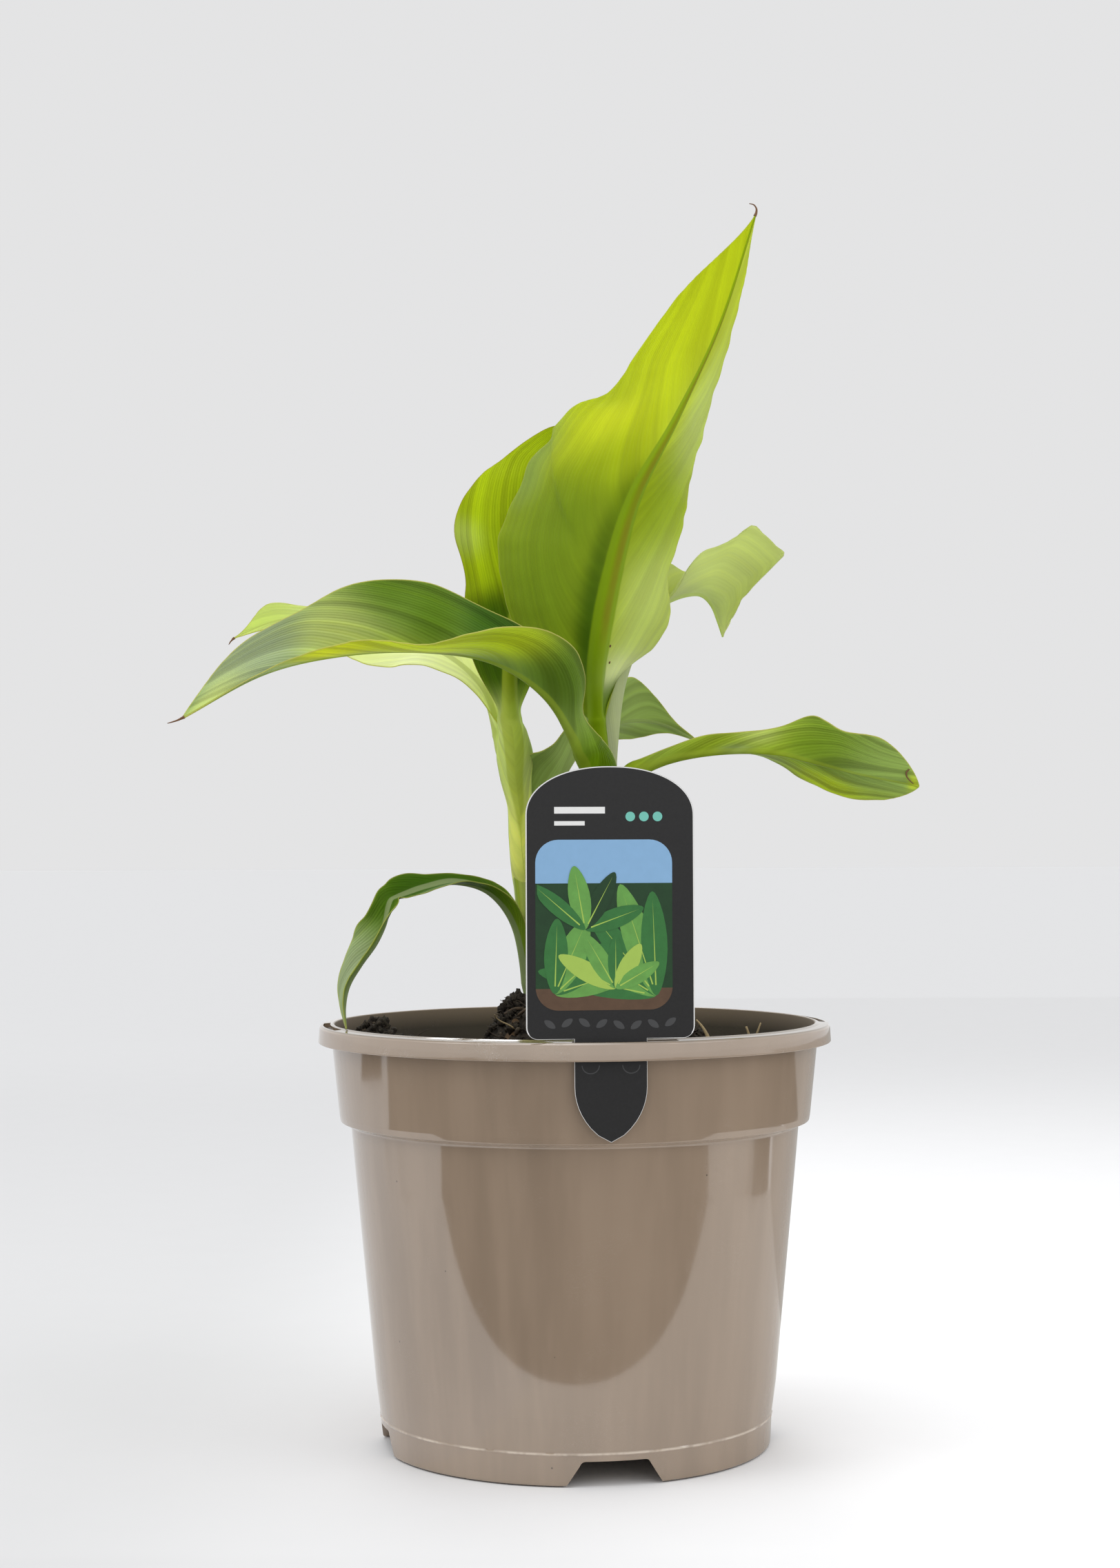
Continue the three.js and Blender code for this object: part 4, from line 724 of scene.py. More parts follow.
    N = normals(P)
    pts = np.stack([Dg / 10, rib / 10, np.where(acr < 0, 3.0, 0.0)], -1).reshape(-1, 3)
    soft = waves(pts, s["seed"], 3.4).reshape(n, m)
    plait = np.sin(vein * 2 * math.pi / 5.2 + 1.4 * soft)
    ruffle = waves(np.stack([Dg / 10, np.sign(acr) * 4], -1).reshape(-1, 2), s["seed"] + 40, 2.6, 2).reshape(n, m)
    tipfade = np.concatenate([np.ones(npt), 1 - smoothstep(0.88, 1.0, rows["t"])])[:, None]
    lift = onblade * tipfade * (0.10 * plait * smoothstep(1.5, 6, rib) + 0.35 * soft * smoothstep(2, 12, rib)
                                + s["ruffle"] * ruffle * np.abs(acr) ** 3)
    if "crease" in s:
        # a fold where the upper part of the wing lies a little over the lower part
        d0, r0, slope, step, back = s["crease"]
        f = Dg - (d0 + (rib - r0) * slope)
        fold = (smoothstep(-2.6, 0.8, f) - smoothstep(0.8, back, f)) * smoothstep(r0 - 3, r0 + 16, rib) * (acr > 0)
        lift = lift - step * fold
    P = P + N * lift[..., None]
    N = normals(P)
    thin = np.where(Dg < 0, 0.75, 0.36 + 0.39 * np.exp(-np.maximum(Dg, 0) / 9))
    low_end = smoothstep(0, 10, D + length)[:, None]
    on_stalk = 1 - smoothstep(-10, 4, Dg)
    round_rib = (0.5 + 0.5 * np.cos(math.pi * np.clip(rib / half_band, 0, 1))) ** 0.7 * (0.34 * half_band + 0.25)
    keel = ridge[:, None] * np.exp(-(rib / 4.2) ** 2) * on_stalk * low_end + round_rib * (1 - on_stalk)
    top = P + N * (thin / 2)[..., None]
    low = P - N * (thin / 2 + keel)[..., None]

    grid = np.arange(n * m).reshape(n, m)
    a, b, c, dd = grid[:-1, :-1], grid[:-1, 1:], grid[1:, 1:], grid[1:, :-1]
    o = n * m
    quads = [np.stack([a, b, c, dd], -1).reshape(-1, 4), np.stack([a, dd, c, b], -1).reshape(-1, 4) + o]
    for j, flip in ((0, False), (m - 1, True)):
        e, f = grid[:-1, j], grid[1:, j]
        q = np.stack([e, f, f + o, e + o], -1)
        quads.append(q[:, ::-1] if flip else q)
    for i, flip in ((0, True), (n - 1, False)):
        e, f = grid[i, :-1], grid[i, 1:]
        q = np.stack([e, f, f + o, e + o], -1)
        quads.append(q[:, ::-1] if flip else q)
    quads = np.concatenate(quads)
    # the zones' colours, painted shade and painted light among them, go into the tint attribute
    tint = TINTS[key]
    cols = []
    for face in (1, -1):
        total = np.full(tall.shape, 0.15)
        colour = total[..., None] * np.array(tint["base"])
        for za, zc, sa, sc, rgb in tint["zones"]:
            w = np.exp(-((tall - za) / sa) ** 2 - ((acr - zc) / sc) ** 2)
            colour = colour + w[..., None] * np.array(rgb)
            total = total + w
        colour = colour / total[..., None]
        w = (1 - smoothstep(-6, 18, Dg))[..., None]
        colour = colour * (1 - w) + np.array(tint["stalk"]) * w
        if "sheath" in s:
            w = smoothstep(*s["sheath"][0], Dg)[..., None]
            colour = colour * (1 - w) + np.array(s["sheath"][1]) * w
        cols.append((colour * (tint["over"] if face > 0 else 1.0)).reshape(-1, 3))
    flat = lambda g: np.concatenate([g.ravel(), g.ravel()])
    band = np.sign(acr) * rib / half_band + np.where(Dg < 0, 1.1 * smoothstep(-6, -70, Dg) * np.where(acr < 0, -1, 1), 0)
    attrs = dict(vein=flat(vein), rib=flat(rib), band=flat(band), edge=flat(edge), along=flat(tall), tint=np.concatenate(cols),
                 face=np.concatenate([np.ones(o), -np.ones(o)]))
    mat = leaf_material("leaf_" + key, LOOKS[key], seed=float(s["seed"]))
    ob = mesh_object("leaf_" + key, np.vstack([top.reshape(-1, 3), low.reshape(-1, 3)]), quads, mats=[mat], attrs=attrs)
    tips[key] = P[-1, m // 2], d[-1]
    return finish_piece(ob, "leaf", *nodes)


tips = {}
for key in LEAVES:
    names = ["petiole_" + key, "blade_" + key] if key != "droop" else ["petiole_droop", "blade_droop_arch", "blade_droop_tip"]
    leaf_piece(key, names)


# ------------------------------------------------------------------ tubes
def tube(path, radii, sides=8, steps=10):
    """Points, quads and end faces of a round thread along guide points."""
    path = np.asarray(path, float)
    keys = np.concatenate([[0], np.cumsum(np.linalg.norm(np.diff(path, axis=0), axis=1))])
    at = np.linspace(0, keys[-1], steps * (len(path) - 1) + 1)
    p = flow(keys, path, at)
    r = np.interp(at, np.linspace(0, keys[-1], len(radii)), radii)
    d = unit(np.gradient(p, axis=0))
    side = unit(np.cross(d, np.array([0.31, 0.2, 0.93])))
    deep = np.cross(d, side)
    q = np.arange(sides) / sides * 2 * math.pi
    ring = p[:, None] + r[:, None, None] * (side[:, None] * np.cos(q)[None, :, None] + deep[:, None] * np.sin(q)[None, :, None])
    n = len(at)
    g = np.arange(n * sides).reshape(n, sides)
    nx = np.roll(g, -1, 1)
    quads = np.stack([g[:-1], nx[:-1], nx[1:], g[1:]], -1).reshape(-1, 4)
    tris = [[0, k + 1, k] for k in range(1, sides - 1)]
    o = (n - 1) * sides
    tris += [[o, o + k, o + k + 1] for k in range(1, sides - 1)]
    return ring.reshape(-1, 3), quads, np.array(tris)


def join(parts):
    """Joins (points, quads, tris) parts into one."""
    co, quads, tris, o = [], [], [], 0
    for c, q, t in parts:
        co.append(c)
        if len(q):
            quads.append(np.asarray(q) + o)
        if len(t):
            tris.append(np.asarray(t) + o)
        o += len(c)
    return np.vstack(co), (np.vstack(quads) if quads else ()), (np.vstack(tris) if tris else ())


THREADS = {
    "tall": [[0, 0, 0], [0.6, 0, 1.6], [0.6, 0, 3.2], [-0.5, 0, 4.8], [-2.4, 0, 5.3]],
    "left": [[0, 0, 0], [-3, 0, -1.4], [-7, 0, -2.6]],
    "back_left": [[0, 0, 0], [-1.6, -0.2, -1.6], [-2.6, -0.4, -3.2]],
    "side_upright": [[0, 0, 0], [2.4, 0, 1.0], [4.4, 0, 0.4]],
}
parts = []
for key, path in THREADS.items():
    base, along = tips[key]
    path = np.array(path, float)
    parts.append(tube(base - along * 1.2 + path, [0.75, 0.5, 0.36, 0.28, 0.16]))
# a dry, curled edge in the right leaf's notch
parts.append(tube([[139.4, -42.9, 285.6], [138.2, -42.6, 284.4], [138.4, -42.3, 282.6], [139.6, -42.0, 281.0], [141.2, -41.6, 279.6]], [0.3, 0.34, 0.3, 0.24, 0.14]))
# two specks beside the tall leaf's stalk
for x, y, z in ((16.0, -12.0, 339.6), (15.7, -8.8, 332.8)):
    parts.append(tube([[x - 0.2, y, z - 0.5], [x, y - 0.15, z], [x + 0.2, y, z + 0.5]], [0.2, 0.42, 0.2], 6, 3))
co, quads, tris = join(parts)
thread_mat = plain_material("dry_tip", (0.16, 0.075, 0.03), 0.6, 0.4, 700.0)
finish_piece(mesh_object("tip_threads", co, quads, tris, [thread_mat]), "leaf")


# ------------------------------------------------------------------ stems
def stem_piece(name, key, z0, z1, sheaths, base, pale, seed):
    """A stem of wrapped sheaths. sheaths: the edge of each, as its angle from the front in degrees at the
    foot and at the top, and the height that it starts from."""
    rings, sides = 110, 96
    z = np.linspace(z0, z1, rings)
    rows = np.array(STEMS[key], float)
    axis = flow(rows[:, 2], rows[:, [0, 1, 3, 4]], z)
    q = np.arange(sides) / sides * 2 * math.pi
    Q, Z = np.meshgrid(q, z)
    grow = np.zeros_like(Q)
    edge = np.full_like(Q, 9.0)
    for front0, front1, start, side in sheaths:
        line = (np.interp(z, [z0, z1], [front0, front1]) * DEG)[:, None]
        gap = np.mod((Q - line) * side, 2 * math.pi)          # how far round from the sheath's edge
        here = smoothstep(start, start + 14, Z)
        grow += here * 0.85 * (1 - smoothstep(0.0, 2.6, gap)) * smoothstep(0, 0.06, gap)
        grow += here * 0.45 * np.exp(-((gap - 0.09) / 0.09) ** 2)
        near = gap * axis[:, 2][:, None]
        edge = np.minimum(edge, np.where(here > 0.4, near, 9.0))
    pts = np.stack([np.cos(Q) * 1.4, np.sin(Q) * 1.4, Z / 26], -1).reshape(-1, 3)
    grow += 0.22 * waves(pts, seed, 2.4).reshape(Q.shape)
    foot = 1 - smoothstep(z0, z0 + 26, Z)
    grow += foot * 0.9
    top = smoothstep(z1 - 9, z1, Z)
    fx = (axis[:, 2][:, None] + grow) * (1 - 0.55 * top ** 2)
    fy = (axis[:, 3][:, None] + grow) * (1 - 0.55 * top ** 2)
    X = axis[:, 0][:, None] + fx * np.cos(Q)
    Y = axis[:, 1][:, None] + fy * np.sin(Q)
    co = np.stack([X, Y, Z], -1).reshape(-1, 3)
    g = np.arange(rings * sides).reshape(rings, sides)
    nx = np.roll(g, -1, 1)
    quads = np.stack([g[:-1], nx[:-1], nx[1:], g[1:]], -1).reshape(-1, 4)
    tris = [[0, k + 1, k] for k in range(1, sides - 1)]
    o = (rings - 1) * sides
    tris += [[o, o + k, o + k + 1] for k in range(1, sides - 1)]
    run = Q * 9.0
    tint = np.repeat(np.array(base)[None], len(co), 0)
    w = (smoothstep(0.25, 0.85, waves(np.stack([Q.ravel() * 2.2, Z.ravel() / 70], -1), seed + 9, 2.6, 2) * 0.5 + 0.5))[:, None]
    tint = tint * (1 - 0.75 * w) + np.array(pale) * 0.75 * w
    low = (1 - smoothstep(z0 + 2, z0 + 34, co[:, 2]))[:, None]
    tint = tint * (1 - 0.65 * low) + np.array([0.40, 0.40, 0.16]) * 0.65 * low
    attrs = dict(run=run.ravel(), tall=Z.ravel(), edge=edge.ravel(), tint=tint)
    mat = stem_material(name + "_skin", (1.25, 1.05, 0.5), (0.60, 0.56, 0.25), float(seed))
    ob = mesh_object(name, co, quads, tris, [mat], attrs=attrs)
    return finish_piece(ob, "stem", "pseudostem_" + key)


stem_piece("stem_main", "main", 160, 284, [(300, 250, 150, 1), (80, 130, 196, -1), (200, 300, 226, 1)],
           (0.25, 0.33, 0.03), (0.40, 0.47, 0.13), 21)
stem_piece("stem_side", "side", 158, 277, [(250, 300, 150, 1)],
           (0.24, 0.33, 0.025), (0.42, 0.48, 0.13), 22)


# ------------------------------------------------------------------ pot
def rounded(points, radii, steps=4):
    """A profile whose corners are rounded by the radius given for each."""
    pts = [np.array(p, float) for p in points]
    out = []
    for i, p in enumerate(pts):
        r = radii[i]
        if not r or i in (0, len(pts) - 1):
            out.append(p)
            continue
        a, b = pts[i - 1] - p, pts[i + 1] - p
        la, lb = np.linalg.norm(a), np.linalg.norm(b)
        a, b = a / la, b / lb
        half = math.acos(max(-1, min(1, float(a @ b)))) / 2
        cut = min(r / math.tan(half), 0.45 * la, 0.45 * lb)
        p0, p1 = p + a * cut, p + b * cut
        for k in range(steps + 1):
            f = k / steps
            out.append((1 - f) ** 2 * p0 + 2 * f * (1 - f) * p + f ** 2 * p1)
    return np.array(out)


FEATURE_TURN = 11
PROFILE = [  # radius, height, rounding
    (0, 11.2, 0), (52, 11.2, 0.4), (52.6, 10.6, 0.3), (70, 10.6, 0.3), (70.6, 11.2, 0.4), (80.4, 11.2, 0.6), (80.4, 0, 0.4),
    (83.15, 0, 0.9), (83.78, 12.0, 0.1), (84.12, 12.7, 0.15), (83.9, 13.5, 0.1), (85.7, 27, 3), (93.9, 113, 3), (96, 135.6, 1.5),
    (98.0, 136.6, 0.8), (100.5, 137.4, 0.7), (100.95, 140, 0.8), (104.1, 170, 0.4), (104.3, 176.5, 0.8), (108.5, 176.1, 0.6),
    (108.4, 170.65, 0.3), (110, 170.65, 0.5), (109.55, 177.2, 0.5), (108.7, 178.05, 0.4), (105.4, 178.25, 0.5), (103.9, 178.8, 0.4), (103.0, 178.5, 0.4),
    (102.4, 170, 3), (99.1, 138.6, 1), (94.4, 136.4, 1), (92.2, 113, 3), (84.0, 27, 3), (82.0, 13.4, 1.2), (0, 13.4, 0)]


def lathe(profile, sides):
    n = len(profile)
    q = np.arange(sides) / sides * 2 * math.pi
    inner = profile[1:-1]
    ring = np.stack([inner[:, 0][:, None] * np.cos(q), inner[:, 0][:, None] * np.sin(q), np.repeat(inner[:, 1][:, None], sides, 1)], -1)
    co = np.vstack([ring.reshape(-1, 3), [[0, 0, profile[0][1]], [0, 0, profile[-1][1]]]])
    m = n - 2
    g = np.arange(m * sides).reshape(m, sides)
    nx = np.roll(g, -1, 1)
    quads = np.stack([g[:-1], nx[:-1], nx[1:], g[1:]], -1).reshape(-1, 4)
    lo, hi = m * sides, m * sides + 1
    tris = [[lo, (k + 1) % sides, k] for k in range(sides)]
    o = (m - 1) * sides
    tris += [[hi, o + k, o + (k + 1) % sides] for k in range(sides)]
    return co, quads, np.array(tris)


def prism(outline, z0, z1, place):
    """A closed prism of a flat outline, each corner put in place by a function."""
    n = len(outline)
    co = np.array([place(x, y, z) for z in (z0, z1) for x, y in outline])
    quads = [[k, (k + 1) % n, n + (k + 1) % n, n + k] for k in range(n)]
    tris = [[0, k + 1, k] for k in range(1, n - 1)] + [[n, n + k, n + k + 1] for k in range(1, n - 1)]
    return co, np.array(quads), np.array(tris)


def face_out(me):
    bm = bmesh.new()
    bm.from_mesh(me)
    bmesh.ops.recalc_face_normals(bm, faces=bm.faces)
    bm.to_mesh(me)
    bm.free()


def cutter(parts):
    co, quads, tris = join(parts)
    ob = mesh_object("cutter", co, quads, tris, smooth=False)
    face_out(ob.data)
    return ob


def turned(deg):
    a = deg * DEG
    return lambda x, y, z: (x * math.cos(a) - y * math.sin(a), x * math.sin(a) + y * math.cos(a), z)


def pot_piece():
    prof = rounded([p[:2] for p in PROFILE], [p[2] for p in PROFILE])
    co, quads, tris = lathe(prof, 288)
    ob = mesh_object("pot_shell", co, quads, tris)
    face_out(ob.data)
    cuts = []
    w1 = 83.15 * math.sin(4.9 * DEG) * 2 - 1
    w0 = w1 + 6.5
    notch = [(-w0, -2), (w0, -2), (w0, 0)]
    for cx, cz, a0, a1, r in ((w1 - 1.0, 7.6, 0, 90, 2.3),):
        notch += [(cx + r * math.cos(a * DEG), cz + r * math.sin(a * DEG)) for a in np.linspace(15, 90, 6)]
    notch += [(-x, z) for x, z in reversed(notch[3:])]
    notch += [(-w0, 0)]
    for k in range(4):
        turn = turned(FEATURE_TURN + 90 * k)
        cuts.append(prism(notch, -90, -73, lambda x, z, y, turn=turn: turn(x, y, z)))
        # slot in the rim's top
        a0, a1 = (-90 - 11.5) * DEG, (-90 + 11.5) * DEG
        arcs = np.linspace(a0, a1, 22)
        ring = [(107.9 * math.cos(a), 107.9 * math.sin(a)) for a in arcs] + [(104.9 * math.cos(a), 104.9 * math.sin(a)) for a in arcs[::-1]]
        cuts.append(prism(ring, 174.0, 182, lambda x, y, z, turn=turn: turn(x, y, z)))
    for k in range(8):
        q = (k + 0.5) / 8 * 2 * math.pi
        hole = [(58 * math.cos(q) + 4.5 * math.cos(a), 58 * math.sin(q) + 4.5 * math.sin(a)) for a in np.arange(24) / 24 * 2 * math.pi]
        cuts.append(prism(hole, 8, 16, lambda x, y, z: (x, y, z)))
    tool = cutter(cuts)
    mod = ob.modifiers.new("cuts", "BOOLEAN")
    mod.operation = "DIFFERENCE"
    mod.solver = "MANIFOLD"
    mod.object = tool
    dg = bpy.context.evaluated_depsgraph_get()
    made = bpy.data.meshes.new_from_object(ob.evaluated_get(dg))
    ob.modifiers.clear()
    old = ob.data
    ob.data = made
    bpy.data.meshes.remove(old)
    bpy.data.objects.remove(tool)
    me = ob.data
    n = len(me.vertices)
    v = np.zeros(n * 3, np.float32)
    me.vertices.foreach_get("co", v)
    v = (v.reshape(-1, 3) - SHIFT) / MM
    r = np.hypot(v[:, 0], v[:, 1])
    # a slight waviness, as of thin moulded plastic, and a ragged mould line
    ang = np.arctan2(v[:, 1], v[:, 0])
    push = 0.12 * np.sin(3 * ang + 0.4) * smoothstep(20, 120, v[:, 2]) + 0.08 * np.sin(7 * ang + v[:, 2] / 30)
    flash = np.exp(-((v[:, 2] - 12.75) / 0.5) ** 2) * (r > 83.9) * (0.16 * np.sin(23 * ang) + 0.12 * np.sin(61 * ang + 1) + 0.1 * np.sin(131 * ang))
    scale = (r + push + flash) / np.maximum(r, 1)
    v[:, 0] *= np.where(r > 5, scale, 1)
    v[:, 1] *= np.where(r > 5, scale, 1)
    me.vertices.foreach_set("co", (v * MM + SHIFT).astype(np.float32).ravel())
    wall = np.interp(v[:, 2], [0, 13.4, 27, 113, 136, 138.6, 170, 178.8], [82, 82.4, 84.4, 92.6, 95, 99.6, 102.8, 103.2])
    # inside marks the inner wall, which the plastic gives painted shade
    inside = ((r < wall + 0.3) & (v[:, 2] > 12.9)) * 1.0
    # rim marks the outer rim band: more scuffs there, and a lighter tone that is painted light
    rim = smoothstep(169, 171, v[:, 2]) * (r > 108) * 1.0
    # top marks the flat top of the rim, which is painted darker as painted shade
    top = ((v[:, 2] > 177.6) & (r > 102.9)) * 1.0
    flash_line = np.exp(-((v[:, 2] - 12.75) / 0.34) ** 2) * (r > 83.8)
    for key, values in (("inside", inside), ("rim", rim), ("top", top), ("flash", flash_line)):
        a = me.attributes.new(key, "FLOAT", "POINT")
        a.data.foreach_set("value", values.astype(np.float32))
    me.materials.clear()
    me.materials.append(plastic_material())
    # the inner wall's copy of the plastic, less glossy, carries its painted shade
    me.materials.append(plastic_material("taupe_plastic_inside_painted_shade", 0.35, 1.5, 0.0))
    for poly in me.polygons:
        poly.use_smooth = True
        if all(inside[i] > 0.5 for i in poly.vertices):
            poly.material_index = 1
    me.update()
    me.set_sharp_from_angle(angle=34 * DEG)
    return finish_piece(ob, "pot_plastic", "pot")


pot_piece()

# ------------------------------------------------------------------ compost
MOUND = dict(x=4, y=8, r=36, soft=16, h=25)
LUMPS = [[-86, -6, 13, 18], [-72, -28, 15, 11], [-52, -34, 13, 7], [-34, -22, 12, 8], [-30, 4, 11, 10], [52, 22, 9, 12], [40, -45, 20, 4], [-20, -62, 18, 4],
         [64, 40, 12, 5], [10, 70, 24, 3], [-50, 55, 18, 3]]


def soil_height(x, y):
    d = np.hypot(x - MOUND["x"], y - MOUND["y"])
    z = 160 + MOUND["h"] / (1 + np.exp((d - MOUND["r"]) / (MOUND["soft"] / 4)))
    for cx, cy, r, h in LUMPS:
        z = z + h * np.exp(-((x - cx) ** 2 + (y - cy) ** 2) / r ** 2)
    return z


def soil_piece():
    rings, sides = 74, 230
    q = np.arange(sides) / sides * 2 * math.pi
    f = np.linspace(0, 1, rings + 1)[1:] ** 0.85
    R, Q = np.meshgrid(f * 101.6, q, indexing="ij")
    X, Y = R * np.cos(Q), R * np.sin(Q)
    pts = np.stack([X, Y, np.zeros_like(X)], -1).reshape(-1, 3)
    rough = (1.6 * np.abs(waves(pts, 31, 17, 3)) + 1.3 * np.abs(waves(pts, 32, 7.5, 3)) + 0.5 * waves(pts, 33, 3.2, 2)).reshape(X.shape)
    Z = soil_height(X, Y) + rough - 1.6
    jitter = waves(pts + 40, 34, 5, 2).reshape(X.shape) * 0.5 * (R < 99)
    top = np.stack([X + jitter, Y - jitter, Z], -1).reshape(-1, 3)
    wall_z = [158, 140, 134, 113, 27, 14.0]
    wall_r = [np.interp(z, [13.4, 27, 113, 136, 138.6, 170], [81.9, 83.9, 92.1, 94.2, 99.0, 102.3]) - 0.35 for z in wall_z]
    under = np.vstack([np.stack([r * np.cos(q), r * np.sin(q), np.full(sides, z)], -1) for z, r in zip(wall_z, wall_r)])
    co = np.vstack([top, under, [[0, 0, float(soil_height(np.array(0.0), np.array(0.0))) - 1], [0, 0, 14.0]]])
    m = rings + len(wall_z)
    g = np.arange(m * sides).reshape(m, sides)
    nx = np.roll(g, -1, 1)
    quads = np.stack([g[:-1], g[1:], nx[1:], nx[:-1]], -1).reshape(-1, 4)
    a, b = m * sides, m * sides + 1
    tris = [[a, k, (k + 1) % sides] for k in range(sides)]
    o = (m - 1) * sides
    tris += [[b, o + (k + 1) % sides, o + k] for k in range(sides)]
    mat = soil_material("compost_bed", (0.012, 0.0095, 0.007), (0.05, 0.04, 0.029), 0.5)
    return finish_piece(mesh_object("compost_bed", co, quads, np.array(tris), [mat]), "compost", "compost")


def ico(level):
    """Points and triangles of a round lump."""
    g = (1 + 5 ** 0.5) / 2
    v = [(-1, g, 0), (1, g, 0), (-1, -g, 0), (1, -g, 0), (0, -1, g), (0, 1, g), (0, -1, -g), (0, 1, -g), (g, 0, -1), (g, 0, 1), (-g, 0, -1), (-g, 0, 1)]
    f = [(0, 11, 5), (0, 5, 1), (0, 1, 7), (0, 7, 10), (0, 10, 11), (1, 5, 9), (5, 11, 4), (11, 10, 2), (10, 7, 6), (7, 1, 8),
         (3, 9, 4), (3, 4, 2), (3, 2, 6), (3, 6, 8), (3, 8, 9), (4, 9, 5), (2, 4, 11), (6, 2, 10), (8, 6, 7), (9, 8, 1)]
    v = [np.array(p, float) / np.linalg.norm(p) for p in v]
    for _ in range(level):
        cache, nf = {}, []

        def mid(a, b):
            k = (min(a, b), max(a, b))
            if k not in cache:
                p = v[a] + v[b]
                v.append(p / np.linalg.norm(p))
                cache[k] = len(v) - 1
            return cache[k]
        for a, b, c in f:
            ab, bc, ca = mid(a, b), mid(b, c), mid(c, a)
            nf += [(a, ab, ca), (b, bc, ab), (c, ca, bc), (ab, bc, ca)]
        f = nf
    return np.array(v), np.array(f)


def crumbs(name, count, size, level, seed, mat, sink=0.25, spread=None, rugged=0.35):
    r = np.random.default_rng(seed)
    ball, faces = ico(level)
    parts = []
    while len(parts) < count:
        if spread:
            cx, cy, rad = spread[len(parts) % len(spread)]
            a, d = r.uniform(0, 2 * math.pi), rad * math.sqrt(r.uniform())
            x, y = cx + d * math.cos(a), cy + d * math.sin(a)
        else:
            a, d = r.uniform(0, 2 * math.pi), 99.0 * math.sqrt(r.uniform())
            x, y = d * math.cos(a), d * math.sin(a)
        if math.hypot(x, y) > 98.5:
            continue
        s = size[0] * (size[1] / size[0]) ** (r.uniform() ** 1.6)
        shape = np.array([s * r.uniform(0.8, 1.3), s * r.uniform(0.7, 1.1), s * r.uniform(0.5, 0.9)])
        p = ball * (1 + rugged * waves(ball * 1.0 + r.uniform(0, 30, 3), int(r.integers(1e6)), 1.1, 2)[:, None])
        p = p * shape
        e = r.normal(size=4)
        e /= np.linalg.norm(e)
        w, i, j, k = e
        rot = np.array([[1 - 2 * (j * j + k * k), 2 * (i * j - k * w), 2 * (i * k + j * w)], [2 * (i * j + k * w), 1 - 2 * (i * i + k * k), 2 * (j * k - i * w)], [2 * (i * k - j * w), 2 * (j * k + i * w), 1 - 2 * (i * i + j * j)]])
        z = float(soil_height(np.array(x), np.array(y))) + s * (0.5 - sink)
        parts.append((p @ rot.T + [x, y, z], (), faces))
    co, quads, tris = join(parts)
    return finish_piece(mesh_object(name, co, quads, tris, [mat], smooth=level > 0), "compost")


soil_piece()
DARK = soil_material("crumb_dark", (0.014, 0.011, 0.008), (0.05, 0.04, 0.028))
BROWN = soil_material("crumb_brown", (0.035, 0.026, 0.017), (0.11, 0.085, 0.058))
crumbs("compost_crumbs", 1100, (0.8, 2.2), 1, 41, DARK)
crumbs("compost_lumps", 1300, (0.8, 2.3), 1, 42, DARK, sink=-0.1, rugged=0.5, spread=[(-80, -4, 13), (-70, -26, 12), (4, 6, 36), (0, -22, 18), (-26, 6, 12), (48, 18, 13), (58, 38, 10), (-50, 50, 20), (20, 40, 22)])
crumbs("compost_brown", 260, (0.9, 2.6), 1, 43, BROWN)


def fibres():
    r = np.random.default_rng(44)
    dark, straw = [], []
    tufts = [(-80, -4, 14), (-70, -26, 12), (0, -14, 22), (-22, 4, 14), (4, 6, 34), (48, 18, 13)]
    for n in range(900):
        a, d = r.uniform(0, 2 * math.pi), 97 * math.sqrt(r.uniform())
        x, y = d * math.cos(a), d * math.sin(a)
        if n > 260:
            cx, cy, rad = tufts[n % len(tufts)]
            d = rad * math.sqrt(r.uniform())
            x, y = cx + d * math.cos(a), cy + d * math.sin(a)
        z = float(soil_height(np.array(x), np.array(y))) + 0.8
        length, turn, rise = r.uniform(4, 13), r.uniform(0, 2 * math.pi), r.uniform(-0.1, 0.45)
        if n > 260:
            length, rise = r.uniform(1.4, 3.6), r.uniform(-0.1, 0.5)
        p, heading = [np.array([x, y, z])], turn
        for k in range(4):
            heading += r.normal() * 0.5
            step = np.array([math.cos(heading), math.sin(heading), rise + r.normal() * 0.25]) * length / 4
            p.append(p[-1] + step)
        p = np.array(p)
        if np.max(np.hypot(p[:, 0], p[:, 1])) > 99.5:
            continue
        w = r.uniform(0.18, 0.42) * (1 if n <= 260 else 0.75)
        (straw if n % 4 == 0 and n <= 260 else dark).append(tube(p, [w, w * 0.9, w * 0.5], 5 if n <= 260 else 4, 3 if n <= 260 else 1))
    # straw bit at the right that splits in two, a fold of dry sheath right of the card and one on the mound
    straw.append(tube([[72, -52, 163], [72.5, -52, 171], [71.5, -52, 177], [70.5, -52, 180]], [0.8, 0.7, 0.4], 6, 4))
    straw.append(tube([[72.4, -52, 171], [74.5, -52, 176], [76.5, -52, 181.5]], [0.6, 0.5, 0.3], 6, 4))
    straw.append(tube([[56, -14, 166], [57, -16, 171], [54.5, -14, 177], [52, -12, 180]], [0.8, 1.0, 0.6, 0.3], 8, 5))
    straw.append(tube([[60, -30, 164], [63, -27, 166], [67, -24, 164.5]], [1.0, 1.2, 0.8], 7, 4))
    brown = [tube([[-30, -2, 182], [-25, -5, 184.5], [-19, -6, 184]], [0.6, 0.8, 0.5], 7, 5),
             tube([[-24, -8, 182], [-20, -10, 184.5], [-15, -11, 183]], [0.6, 0.7, 0.4], 7, 4)]
    for name, group, mat in (("root_fibres", dark, plain_material("fibre_dark", (0.05, 0.035, 0.022), 0.8, 0.4, 500)),
                             ("straw_bits", straw, plain_material("straw", (0.33, 0.25, 0.13), 0.7, 0.35, 420)),
                             ("dry_sheath", brown, plain_material("dry_brown", (0.07, 0.045, 0.024), 0.75, 0.45, 420))):
        co, quads, tris = join(group)
        finish_piece(mesh_object(name, co, quads, tris, [mat]), "compost")


fibres()

